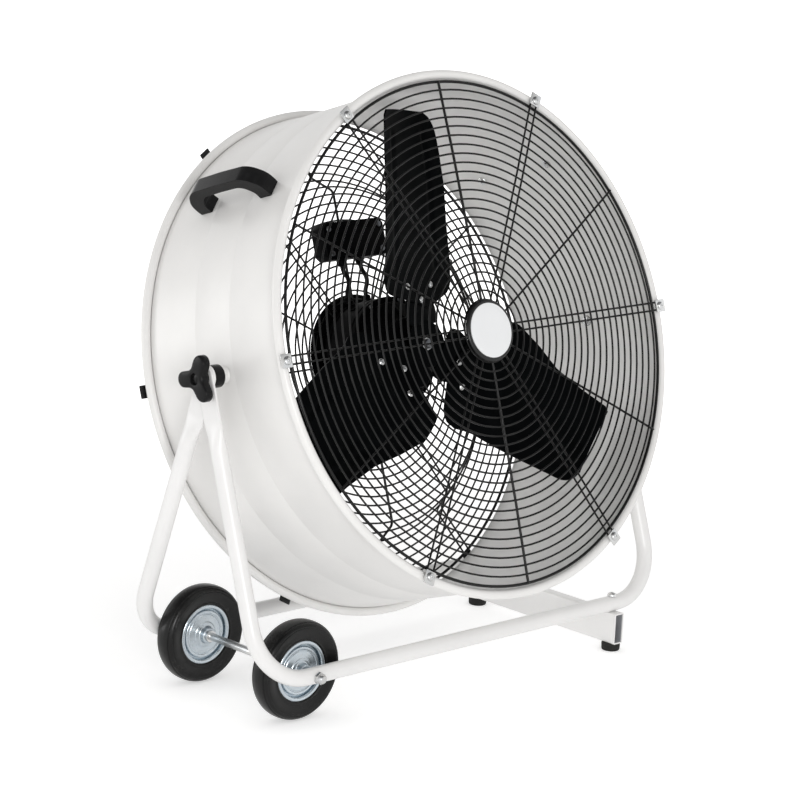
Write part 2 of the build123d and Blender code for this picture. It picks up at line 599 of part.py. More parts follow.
# ---------------------------------------------------------------- frame
def tube_outline(depth, middle, across, wide):
    """Corners of an outline across a leg, round or flat, in the tube's own plane."""
    points = []
    for index in range(TUBE_SIDES):
        angle = 2 * pi * (index + 0.5) / TUBE_SIDES
        if across == wide:
            points.append((middle + across * cos(angle), depth, wide * sin(angle)))
        else:
            side = 1 if cos(angle) > 0 else -1
            points.append((middle + side * across, depth, wide * sin(angle) / cos(pi / TUBE_SIDES)))
    return points


def frame_tube(eye_middle):
    """A U of round tube, drawn flat with its legs down +Y, ending in two flattened eyes."""
    round_from = EYE_LENGTH + FLATTEN_LENGTH
    start = tube_outline(round_from, LEG_X, TUBE_RADIUS, TUBE_RADIUS)
    end = tube_outline(EYE_LENGTH, eye_middle, EYE_THICK / 2, EYE_WIDTH / 2)
    bend = []
    for index in range(BEND_STEPS + 1):
        angle = pi / 2 * index / BEND_STEPS
        bend.append((LEG_X - BEND_RADIUS * (1 - cos(angle)), LEG_LENGTH - BEND_RADIUS * (1 - sin(angle))))
    path = [(LEG_X, round_from)] + bend + [(-x, y) for x, y in reversed(bend)] + [(-LEG_X, round_from)]
    tube = sweep(make_face(Polyline(*start, close=True)), path=Polyline(*path), transition=Transition.RIGHT)
    taper = skinned([start, end])
    plate = Rectangle(EYE_LENGTH, EYE_WIDTH, align=(Align.MIN, Align.CENTER))
    plate += RegularPolygon(EYE_WIDTH / 2, EYE_SIDES)
    plate -= RegularPolygon(STUD_RADIUS + HOLE_GAP, SHAFT_SIDES, major_radius=False)
    eye = Plane(origin=(eye_middle - EYE_THICK / 2, 0, 0), x_dir=(0, 1, 0), z_dir=(1, 0, 0))
    eye = extrude(eye * plate, EYE_THICK)
    ends = [taper, eye]
    return tube.fuse(*ends, *[mirrored(piece) for piece in ends])


def leaned(side):
    """Stand a flat-drawn tube up through the pivot, leaning to the front (-1) or rear (1)."""
    down = (0, side * sin(LEG_LEAN), -cos(LEG_LEAN))
    plane = Plane(origin=(0, 0, PIVOT_HEIGHT), x_dir=(1, 0, 0),
                  z_dir=(0, -down[2], down[1]))
    return plane.location


def crossbar():
    """Rectangular tube under both bottom runs, open at its ends."""
    middle = (BAR_TOP + BAR_BOTTOM) / 2
    height = BAR_TOP - BAR_BOTTOM
    tube = Box(BAR_WIDTH, 2 * BAR_HALF, height)
    tube -= Box(BAR_WIDTH - 2 * BAR_WALL, 2 * BAR_HALF, height - 2 * BAR_WALL)
    return Pos(BASE_X, 0, middle) * tube


def bar_bolt(side, grow=0.0):
    """Bolt down through a bottom run into the crossbar."""
    top = RUN_Z + TUBE_RADIUS + SEAT_GAP
    shank = bar(BAR_BOLT_RADIUS + grow, BAR_TOP - 12, top, 6, bore=grow > 0)
    head = bar(BAR_HEAD_RADIUS, top, top + BAR_HEAD_HEIGHT, 6)
    return Pos(BASE_X, side * RUN_Y, 0) * (shank if grow else shank + head)


def base():
    """Both tubes, crossbar, bolts, feet, axle, nuts and collars."""
    holes = [bar_bolt(side, HOLE_GAP) for side in (-1, 1)]
    bore = bar_y(AXLE_RADIUS + HOLE_GAP, -RUN_Y - 20, RUN_Y + 20, SHAFT_SIDES, bore=True)
    holes.append(Pos(-BASE_X, 0, RUN_Z) * bore)
    shift = (EYE_THICK + SEAT_GAP) / 2
    keep("front_frame_tube", leaned(-1) * frame_tube(LEG_X + shift) - holes)
    keep("rear_frame_tube", leaned(1) * frame_tube(LEG_X - shift) - holes)
    keep("support_crossbar", crossbar() - holes[:2])
    keep("crossbar_bolts", *[bar_bolt(side) for side in (-1, 1)])
    for node, side in (("front_foot", -1), ("rear_foot", 1)):
        foot = bar(FOOT_RADIUS, 0, FOOT_HEIGHT, FOOT_SIDES)
        keep(node, Pos(BASE_X, side * (BAR_HALF - FOOT_INSET), 0) * foot)
    axle_end = RUN_Y + TUBE_RADIUS + NUT_LENGTH - 2
    keep("wheel_axle", Pos(-BASE_X, 0, RUN_Z) * bar_y(AXLE_RADIUS, -axle_end, axle_end, SHAFT_SIDES))
    nuts, collars = [], []
    for side in (-1, 1):
        start = RUN_Y + TUBE_RADIUS + SEAT_GAP
        nut = bar_y(NUT_RADIUS, start, start + NUT_LENGTH, 6)
        nut -= bar_y(AXLE_RADIUS + HOLE_GAP, start, axle_end + 0.1, SHAFT_SIDES, bore=True)
        hub = WHEEL_Y - HUB_TUBE_LENGTH / 2 - MOVE_GAP
        collar = bar_y(COLLAR_RADIUS, hub - COLLAR_WIDTH, hub, SHAFT_SIDES)
        collar -= bar_y(AXLE_RADIUS + HOLE_GAP, hub - COLLAR_WIDTH, hub, SHAFT_SIDES, bore=True)
        flip = Rot(0, 0, 90 - 90 * side)
        nuts.append(Pos(-BASE_X, 0, RUN_Z) * flip * nut)
        collars.append(Pos(-BASE_X, 0, RUN_Z) * flip * collar)
    keep("axle_end_nuts", *nuts)
    keep("axle_collars", *collars)


def wheel():
    """Rubber tyre on a stepped disc rim with a hub tube, turned about Y."""
    tread = RUN_Z * cos(pi / WHEEL_SIDES)
    half, seat = TYRE_WIDTH / 2, RIM_OUTER + SEAT_GAP
    wall = half - 3
    tyre = turned([(seat, -wall), (tread - TYRE_SHOULDER, -half), (tread, -half + TYRE_SHOULDER),
                   (tread, half - TYRE_SHOULDER), (tread - TYRE_SHOULDER, half), (seat, wall)],
                  WHEEL_SIDES)
    bore, end = AXLE_RADIUS + HOLE_GAP, HUB_TUBE_LENGTH / 2
    face = wall - 1
    side = [(bore, end), (HUB_TUBE_RADIUS, end), (HUB_TUBE_RADIUS, face + 2), (CROWN_RADIUS, face),
            (WELL_RADIUS - 5, face - WELL_DEPTH), (WELL_RADIUS + 5, face - WELL_DEPTH),
            (RIM_OUTER, face)]
    other = [(radius, -y) for radius, y in reversed(side)]
    return tyre, turned(side + other, WHEEL_SIDES)


# ---------------------------------------------------------------- collect and write
def main():
    base()
    for node, side in (("front", -1), ("rear", 1)):
        tyre, rim = wheel()
        place = Pos(-BASE_X, side * WHEEL_Y, RUN_Z)
        keep(f"{node}_tyre", place * tyre)
        keep(f"{node}_rim", place * rim)
    keep_in_drum("drum_shell", drum_shell())
    keep_in_drum("front_guard", wire_guard(front_line(), GUARD_INNER, -1))
    keep_in_drum("rear_guard", wire_guard(rear_line(), REAR_INNER, 1))
    for node, face, outward in (("front_guard", FRONT_FACE, -1), ("rear_guard", REAR_FACE, 1)):
        clips, screws = rim_fasteners(face, outward)
        keep_in_drum(f"{node}_clips", *clips)
        keep_in_drum(f"{node}_bolts", *screws)
    holder, disc = badge()
    keep_in_drum("badge_holder", holder)
    keep_in_drum("badge_disc", disc)
    body, nose, shield, plate, screws, bolts = motor()
    keep_in_drum("motor_housing", body)
    keep_in_drum("motor_front_shield", nose)
    keep_in_drum("motor_rear_shield", shield)
    keep_in_drum("motor_shield_screws", *screws)
    keep_in_drum("motor_mount_plate", plate)
    keep_in_drum("motor_mount_bolts", *bolts)
    box, lid, screws, upper, lower, leads, knob = control_box()
    keep_in_drum("control_box", box)
    keep_in_drum("control_box_lid", lid)
    keep_in_drum("control_box_screws", *screws)
    keep_in_drum("control_box_glands", *upper)
    keep_in_drum("motor_glands", *lower)
    keep_in_drum("motor_leads", *leads)
    keep_in_drum("speed_knob", knob)
    shaft, hub, bolt, blades, rivets = rotor()
    keep_in_drum("motor_shaft", shaft)
    keep_in_drum("rotor_hub", hub)
    keep_in_drum("hub_bolt", bolt)
    for index, paddle in enumerate(blades):
        keep_in_drum(f"blade_{index + 1}", paddle)
    keep_in_drum("blade_rivets", *rivets)
    grip, stud, spacer, knob = handle(), pivot_stud(), pivot_spacer(), clamp_knob()
    keep_in_drum("right_handle", about_axis(HANDLE_ANGLE) * grip)
    keep_in_drum("left_handle", mirrored(about_axis(HANDLE_ANGLE) * grip))
    keep_in_drum("handle_bolts", *[place * handle_bolt() for place in handle_bolt_axes()])
    keep_in_drum("pivot_studs", stud, mirrored(stud))
    keep_in_drum("right_pivot_spacer", spacer)
    keep_in_drum("left_pivot_spacer", mirrored(spacer))
    keep("right_clamp_knob", knob)
    keep("left_clamp_knob", mirrored(knob))
    os.makedirs("parts", exist_ok=True)
    for node, solids in PARTS.items():
        shape = Compound([part for solid in solids for part in solid.solids()])
        export_step(shape, f"parts/{node}.step")
        print(node, len(shape.solids()), [round(v, 1) for v in shape.bounding_box().size])


main()
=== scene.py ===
"""The visual model of a mobile drum fan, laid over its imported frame.

Lengths are in millimetres until a piece is finished. Drum pieces are drawn square to the
drum, with its axis along local +Z towards the rear, and are tilted as they are finished.
"""
import logging
import math
from dataclasses import dataclass
from enum import Enum
from typing import Callable, Iterable, Sequence, Union

import bmesh
import bpy
from mathutils import Matrix, Vector

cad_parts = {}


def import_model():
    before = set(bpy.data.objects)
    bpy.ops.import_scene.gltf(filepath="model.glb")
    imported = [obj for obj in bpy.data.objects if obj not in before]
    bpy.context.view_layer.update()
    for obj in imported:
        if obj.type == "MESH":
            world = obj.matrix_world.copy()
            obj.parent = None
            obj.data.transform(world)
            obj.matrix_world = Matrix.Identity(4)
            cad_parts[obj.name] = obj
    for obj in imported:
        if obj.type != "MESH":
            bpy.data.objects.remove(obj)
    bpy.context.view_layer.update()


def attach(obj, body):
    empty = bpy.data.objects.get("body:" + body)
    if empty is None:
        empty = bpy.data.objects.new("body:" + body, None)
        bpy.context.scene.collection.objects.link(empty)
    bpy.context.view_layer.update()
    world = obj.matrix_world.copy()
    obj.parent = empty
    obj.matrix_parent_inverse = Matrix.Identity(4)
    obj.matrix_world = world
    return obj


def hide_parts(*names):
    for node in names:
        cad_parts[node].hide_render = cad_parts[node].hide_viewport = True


LOG = logging.getLogger("drum_fan")
MM = 0.001
TAU = 2 * math.pi
ONE = Matrix.Identity(4)

Corner = tuple[float, ...]
Three = tuple[float, float, float]  # a colour, or a point in metres
Value = Union["Socket", float, int, Sequence[float]]


def turn(degrees: float, axis: str) -> Matrix:
    """A turn about one of the axes, in degrees."""
    return Matrix.Rotation(math.radians(degrees), 4, axis)


def move(x: float = 0.0, y: float = 0.0, z: float = 0.0) -> Matrix:
    """A shift."""
    return Matrix.Translation((x, y, z))


@dataclass(frozen=True)
class Stance:
    """How the drum stands in its base."""

    pivot_height: float = 500.0
    tilt: float = 18.85
    shift: float = -11.64

    def base(self) -> Matrix:
        """From pivot-centred base coordinates to the fan's own."""
        return move(0, self.shift, 0)

    def tilted(self) -> Matrix:
        """From drum coordinates, with +Y to the rear, to the fan's own."""
        return move(0, self.shift, self.pivot_height) @ turn(-self.tilt, "X")

    def drum(self) -> Matrix:
        """The same, for pieces that are drawn with the drum's axis along +Z."""
        return self.tilted() @ turn(-90, "X")


STANCE = Stance()
BASE, TILTED, DRUM = STANCE.base(), STANCE.tilted(), STANCE.drum()


class Body(Enum):
    """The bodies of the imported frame."""

    BASE = "base"
    FRONT_WHEEL = "front_wheel"
    REAR_WHEEL = "rear_wheel"
    DRUM = "drum"
    ROTOR = "rotor"
    SELECTOR = "speed_selector"
    LEFT_KNOB = "left_knob"
    RIGHT_KNOB = "right_knob"


# ------------------------------------------------------------------ shader maths
class Socket:
    """An output of a shader node. Sums and products of sockets add their Math nodes."""

    def __init__(self, graph: "Graph", output: bpy.types.NodeSocket) -> None:
        """Wrap one output of a node in a graph."""
        self.graph = graph
        self.output = output

    def _math(self, operation: str, first: Value, second: Value = 0.0) -> "Socket":
        """Add one Math node."""
        return self.graph.node("Math", {0: first, 1: second}, operation=operation)

    def __add__(self, other: Value) -> "Socket":
        """Sum."""
        return self._math("ADD", self, other)

    def __sub__(self, other: Value) -> "Socket":
        """Difference."""
        return self._math("SUBTRACT", self, other)

    def __rsub__(self, other: Value) -> "Socket":
        """Difference."""
        return self._math("SUBTRACT", other, self)

    def __mul__(self, other: Value) -> "Socket":
        """Product."""
        return self._math("MULTIPLY", self, other)

    def __pow__(self, other: Value) -> "Socket":
        """Power."""
        return self._math("POWER", self, other)

    __radd__, __rmul__ = __add__, __mul__

    def at_least(self, other: Value) -> "Socket":
        """The greater of two values."""
        return self._math("MAXIMUM", self, other)

    def above(self, low: float, high: float) -> "Socket":
        """Rise from 0 to 1 between two values.

        Args:
            low: Where the rise starts.
            high: Where it ends.

        Returns:
            A socket between 0 and 1.
        """
        return self.graph.node("MapRange", {0: self, 1: low, 2: high},
                               interpolation_type="SMOOTHSTEP")


class Graph:
    """The node tree of one material or world."""

    def __init__(self, owner: bpy.types.Material | bpy.types.World) -> None:
        """Start from an empty tree."""
        owner.use_nodes = True
        self.tree = owner.node_tree
        self.tree.nodes.clear()

    def node(self, kind: str, sockets: dict | None = None, output: int | str = 0,
             **settings: str) -> Socket:
        """Add a node.

        Args:
            kind: Its type, without the ShaderNode in front.
            sockets: Values or links of its inputs, by name or number.
            output: The output that is wanted.
            settings: Its properties.

        Returns:
            That output.
        """
        added = self.tree.nodes.new("ShaderNode" + kind)
        for name, value in settings.items():
            setattr(added, name, value)
        for name, value in (sockets or {}).items():
            if isinstance(value, Socket):
                self.tree.links.new(value.output, added.inputs[name])
            elif isinstance(added.inputs[name].default_value, float):
                added.inputs[name].default_value = float(value)
            elif len(added.inputs[name].default_value) == 4:
                added.inputs[name].default_value = (*value, 1.0)[:4]
            else:
                added.inputs[name].default_value = value
        return Socket(self, added.outputs[output])

    def place(self, middle: Sequence[float] = (0, 0, 0), turned: Sequence[float] = (0, 0, 0),
              stretch: Sequence[float] = (1, 1, 1)) -> Socket:
        """Object coordinates in metres.

        Args:
            middle: The point that they are centred on.
            turned: Their turn about X, Y and Z.
            stretch: What each is multiplied by.

        Returns:
            The coordinates.
        """
        where = self.node("TexCoord", output="Object")
        centred = self.node("VectorMath", {0: where, 1: middle}, operation="SUBTRACT")
        spun = self.node("Mapping", {"Vector": centred, "Rotation": turned})
        return self.node("VectorMath", {0: spun, 1: stretch}, operation="MULTIPLY")

    def noise(self, where: Socket, scale: float, detail: float = 3.0, rough: float = 0.5) -> Socket:
        """Soft noise between 0 and 1."""
        return self.node("TexNoise", {"Vector": where, "Scale": scale, "Detail": detail,
                                      "Roughness": rough})

    def blend(self, share: Value, first: Value, second: Value) -> Socket:
        """Mix two colours."""
        return self.node("Mix", {0: share, 6: first, 7: second}, 2, data_type="RGBA")

    def part(self, where: Socket, axis: int) -> Socket:
        """One coordinate of a vector: 0, 1 or 2 for X, Y or Z."""
        return self.node("SeparateXYZ", {0: where}, axis)

    def cells(self, where: Socket, size: float, output: str = "Distance",
              feature: str = "F1") -> Socket:
        """Voronoi cells."""
        return self.node("TexVoronoi", {"Vector": where, "Scale": size}, output,
                         feature=feature)

    def finish(self, shader: Socket, kind: str = "OutputMaterial") -> None:
        """Join a shader to the output of the material or the world."""
        end = self.tree.nodes.new("ShaderNode" + kind)
        self.tree.links.new(shader.output, end.inputs["Surface"])


class Grain(Enum):
    """Kinds of fine surface texture."""

    POWDER_COAT = "orange peel of a baked powder coat"
    PLATED = "crystal spangle of bright zinc"
    SPUN = "rings left by spinning the disc"
    DRAWN = "fine lines along a drawn bar"
    MOULDED = "spark-eroded texture of a mould"
    CAST = "rough skin of a casting under paint"
    RUBBER = "fine pores of moulded rubber"


@dataclass(frozen=True)
class Finish:
    """One finish of the fan: its colour and gloss, and what varies over the surface.

    Attributes:
        name: A name of its own, because the frame brings plain materials named like the slots.
        slot: The record's material slot; not used.
        grain: The fine texture.
        depth: Height of that texture, in metres.
        size: How many of its features fit in a metre.
        drift: How far the colour drifts over a hand's breadth.
        dust: How much pale dust lies on faces that look up.
        wear: How much lighter the edges are rubbed.
        middle: A point on the axis that rings or lines go round.
        axis_turn: Turn, in degrees about X, that brings that axis onto Z.
    """

    name: str
    slot: str
    colour: Three
    roughness: float
    grain: Grain
    depth: float
    size: float
    metallic: float = 0.0
    specular: float = 0.5
    coat: float = 0.0
    drift: float = 0.05
    dust: float = 0.0
    wear: float = 0.0
    middle: Three = (0.0, 0.0, 0.0)
    axis_turn: float = 0.0

    def _height(self, graph: Graph, where: Socket) -> Socket:
        """The fine texture's height.

        Args:
            graph: The material's nodes.
            where: Coordinates, in metres.

        Returns:
            A height between 0 and 1.
        """
        if self.grain is Grain.SPUN:
            across, deep = graph.part(where, 0), graph.part(where, 1)
            radius = (across * across + deep * deep) ** 0.5
            return graph.node("TexNoise", {"W": radius, "Scale": self.size, "Detail": 4.0},
                              noise_dimensions="1D")
        if self.grain is Grain.DRAWN:
            return graph.noise(graph.place(stretch=(1, 0.02, 1)), self.size, 4.0)
        if self.grain is Grain.PLATED:
            spangle = graph.cells(where, self.size, feature="SMOOTH_F1")
            return spangle * 0.6 + graph.noise(where, self.size * 3.1) * 0.4
        if self.grain is Grain.CAST:
            coarse = graph.noise(where, self.size * 0.3, 5.0, 0.65)
            return coarse * 0.7 + graph.noise(where, self.size, 3.0) * 0.3
        if self.grain is Grain.MOULDED:
            pits = graph.cells(where, self.size)
            return pits * 0.5 + graph.noise(where, self.size * 0.7, 4.0) * 0.5
        return graph.noise(where, self.size, 2.0 if self.grain is Grain.POWDER_COAT else 5.0)

    def make(self) -> bpy.types.Material:
        """Build the material, or return it if it was built before.

        Returns:
            The material.
        """
        known = bpy.data.materials.get(self.name)
        if known:
            return known
        material = bpy.data.materials.new(self.name)
        graph = Graph(material)
        where = graph.place(self.middle, (math.radians(self.axis_turn), 0, 0))
        height = self._height(graph, where)
        cloud = graph.noise(where, 9.0, 4.0, 0.6)
        smudge = graph.noise(where, 34.0, 5.0, 0.7)
        darker = tuple(c * (1 - self.drift * 1.6) for c in self.colour)
        lighter = tuple(min(c * (1 + self.drift), 1.0) + self.drift * 0.004 for c in self.colour)
        colour = graph.blend(cloud.above(0.35, 0.65), darker, lighter)
        rough = self.roughness + (smudge - 0.5) * (0.24 * self.roughness)
        if self.grain in (Grain.PLATED, Grain.SPUN, Grain.DRAWN):
            bright = graph.node("SeparateColor", {0: graph.cells(where, 130.0, "Color")})
            colour = graph.blend(bright * 0.22, colour, (0.60, 0.68, 0.78))
            colour = graph.blend(smudge.above(0.58, 0.8) * 0.2, colour, (0.66, 0.62, 0.50))
            rough = rough + (bright - 0.5) * 0.09 + (height - 0.5) * 0.12
        if self.grain is Grain.RUBBER:
            colour = graph.blend(smudge.above(0.5, 0.75) * 0.25, colour, (0.040, 0.039, 0.037))
            rough = rough + height * 0.08
        if self.dust:
            normal = graph.node("NewGeometry", output="Normal")
            up = graph.part(normal, 2)
            lie = up.above(0.25, 1.0) * smudge.above(0.3, 0.8) * self.dust
            colour = graph.blend(lie, colour, (0.42, 0.40, 0.37))
            rough = rough + lie * 0.3
        if self.wear:
            point = graph.node("NewGeometry", output="Pointiness")
            rubbed = point.above(0.52, 0.60) * graph.noise(where, 90.0, 4.0).above(0.4, 0.7)
            pale = tuple(c * 2.2 + 0.03 for c in self.colour)
            colour = graph.blend(rubbed * self.wear, colour, pale)
        bump = graph.node("Bump", {"Height": height, "Distance": self.depth, "Strength": 1.0})
        shader = graph.node("BsdfPrincipled", {
            "Base Color": colour, "Roughness": rough, "Metallic": self.metallic,
            "Specular IOR Level": self.specular, "Coat Weight": self.coat,
            "Coat Roughness": 0.18, "Normal": bump})
        graph.finish(shader)
        return material


DRUM_PAINT = Finish("white_drum_coat", "drum_paint", (0.80, 0.792, 0.778), 0.36,
                    Grain.POWDER_COAT, 0.00002, 620, drift=0.012, coat=0.15)
FRAME_PAINT = Finish("white_frame_coat", "frame_paint", (0.82, 0.815, 0.808), 0.33,
                     Grain.POWDER_COAT, 0.00002, 700, drift=0.012, coat=0.2)
# Painted shade: a grey, half-metallic liner finish, darker than the white paint, stands in for the
# shade deep inside the open crossbar.
TUBE_SHADE_LINER = Finish("crossbar_painted_shade", "frame_paint", (0.5, 0.51, 0.53), 0.45, Grain.CAST,
                    0.00003, 400, metallic=0.6, drift=0.2)
DULL_ZINC = Finish("dulled_zinc", "zinc", (0.16, 0.16, 0.165), 0.42, Grain.PLATED, 0.00001, 500,
                   metallic=1.0, drift=0.2)
ZINC = Finish("bright_zinc", "zinc", (0.74, 0.735, 0.72), 0.25, Grain.PLATED, 0.00001, 420,
              metallic=1.0, drift=0.1)
AXLE_ZINC = Finish("drawn_zinc_bar", "zinc", (0.66, 0.66, 0.65), 0.33, Grain.DRAWN, 0.00001, 900,
                   metallic=1.0, drift=0.1)
FOOT_RUBBER = Finish("black_foot_rubber", "foot_rubber", (0.012, 0.012, 0.0115), 0.7, Grain.RUBBER,
                     0.00006, 900, dust=0.1, drift=0.2, specular=0.3)
TYRE_RUBBER = Finish("black_tyre_rubber", "tyre_rubber", (0.005, 0.005, 0.0049), 0.22,
                     Grain.RUBBER, 0.00003, 700, dust=0.01, drift=0.2, specular=0.28)
WIRE_COAT = Finish("black_wire_coat", "guard_wire", (0.002, 0.002, 0.002), 0.3,
                   Grain.POWDER_COAT, 0.00001, 900, drift=0.2, specular=0.3)
BLACK_SCREW = Finish("blackened_screw", "black_bolts", (0.008, 0.008, 0.0085), 0.36,
                     Grain.POWDER_COAT, 0.00001, 900, specular=0.25)
DARK_CLIP = Finish("dark_rear_clip", "zinc", (0.012, 0.012, 0.0125), 0.4, Grain.POWDER_COAT,
                   0.00001, 900, specular=0.25)
BADGE_BLACK = Finish("moulded_badge_ring", "badge_black", (0.006, 0.006, 0.0065), 0.28,
                     Grain.MOULDED, 0.00001, 1500, drift=0.1, specular=0.4)
BADGE_WHITE = Finish("printed_badge_face", "badge_white", (0.80, 0.81, 0.82), 0.22,
                     Grain.MOULDED, 0.000006, 1800, drift=0.01, coat=0.4)
MOTOR_PAINT = Finish("painted_casting", "motor_paint", (0.002, 0.002, 0.0023), 0.42, Grain.CAST,
                     0.00012, 500, drift=0.2, wear=0.05, specular=0.02)
BOX_PLASTIC = Finish("moulded_box_plastic", "box_plastic", (0.002, 0.002, 0.0024), 0.4,
                     Grain.MOULDED, 0.00002, 1400, drift=0.1, specular=0.03)
LEAD_SHEATH = Finish("black_lead_sheath", "lead_sheath", (0.003, 0.003, 0.003), 0.4, Grain.RUBBER,
                     0.00003, 1200, drift=0.15, specular=0.1)
GRIP_PLASTIC = Finish("moulded_grip_plastic", "grip_plastic", (0.010, 0.010, 0.0104), 0.22,
                      Grain.MOULDED, 0.00002, 1300, dust=0.01, drift=0.1, wear=0.15,
                      specular=0.12)
BLADE_PAINT = Finish("black_blade_coat", "blade_paint", (0.0014, 0.0019, 0.0022), 0.34,
                     Grain.POWDER_COAT, 0.00002, 520, drift=0.15, dust=0.01, wear=0.1,
                     specular=0.02)


# ------------------------------------------------------------------ mesh tools
SEAT = 0.05  # paint-thick gap between pieces that are clamped together


def linked(name: str, data: bpy.types.ID) -> bpy.types.Object:
    """Put a mesh, curve, lamp or camera into the scene.

    Args:
        name: The object's name.
        data: What it holds.

    Returns:
        The object.
    """
    made = bpy.data.objects.new(name, data)
    bpy.context.scene.collection.objects.link(made)
    return made


def hand_over(piece: bpy.types.Object, body: Body, node: str) -> None:
    """Parent a piece to its body's empty and hide the CAD part that it stands for.

    Args:
        piece: The visible object.
        body: The body that it rides on.
        node: The CAD node that it stands for, if any.
    """
    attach(piece, body.value)
    if node:
        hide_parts(node)


def verts_in(items: Iterable) -> list[bmesh.types.BMVert]:
    """The vertices among an operator's results."""
    return [item for item in items if isinstance(item, bmesh.types.BMVert)]


def edges_in(items: Iterable) -> list[bmesh.types.BMEdge]:
    """The edges among an operator's results."""
    return [item for item in items if isinstance(item, bmesh.types.BMEdge)]


def largest(mesh: bmesh.types.BMesh) -> bmesh.types.BMFace:
    """The face with the most area."""
    return max(mesh.faces, key=lambda face: face.calc_area())


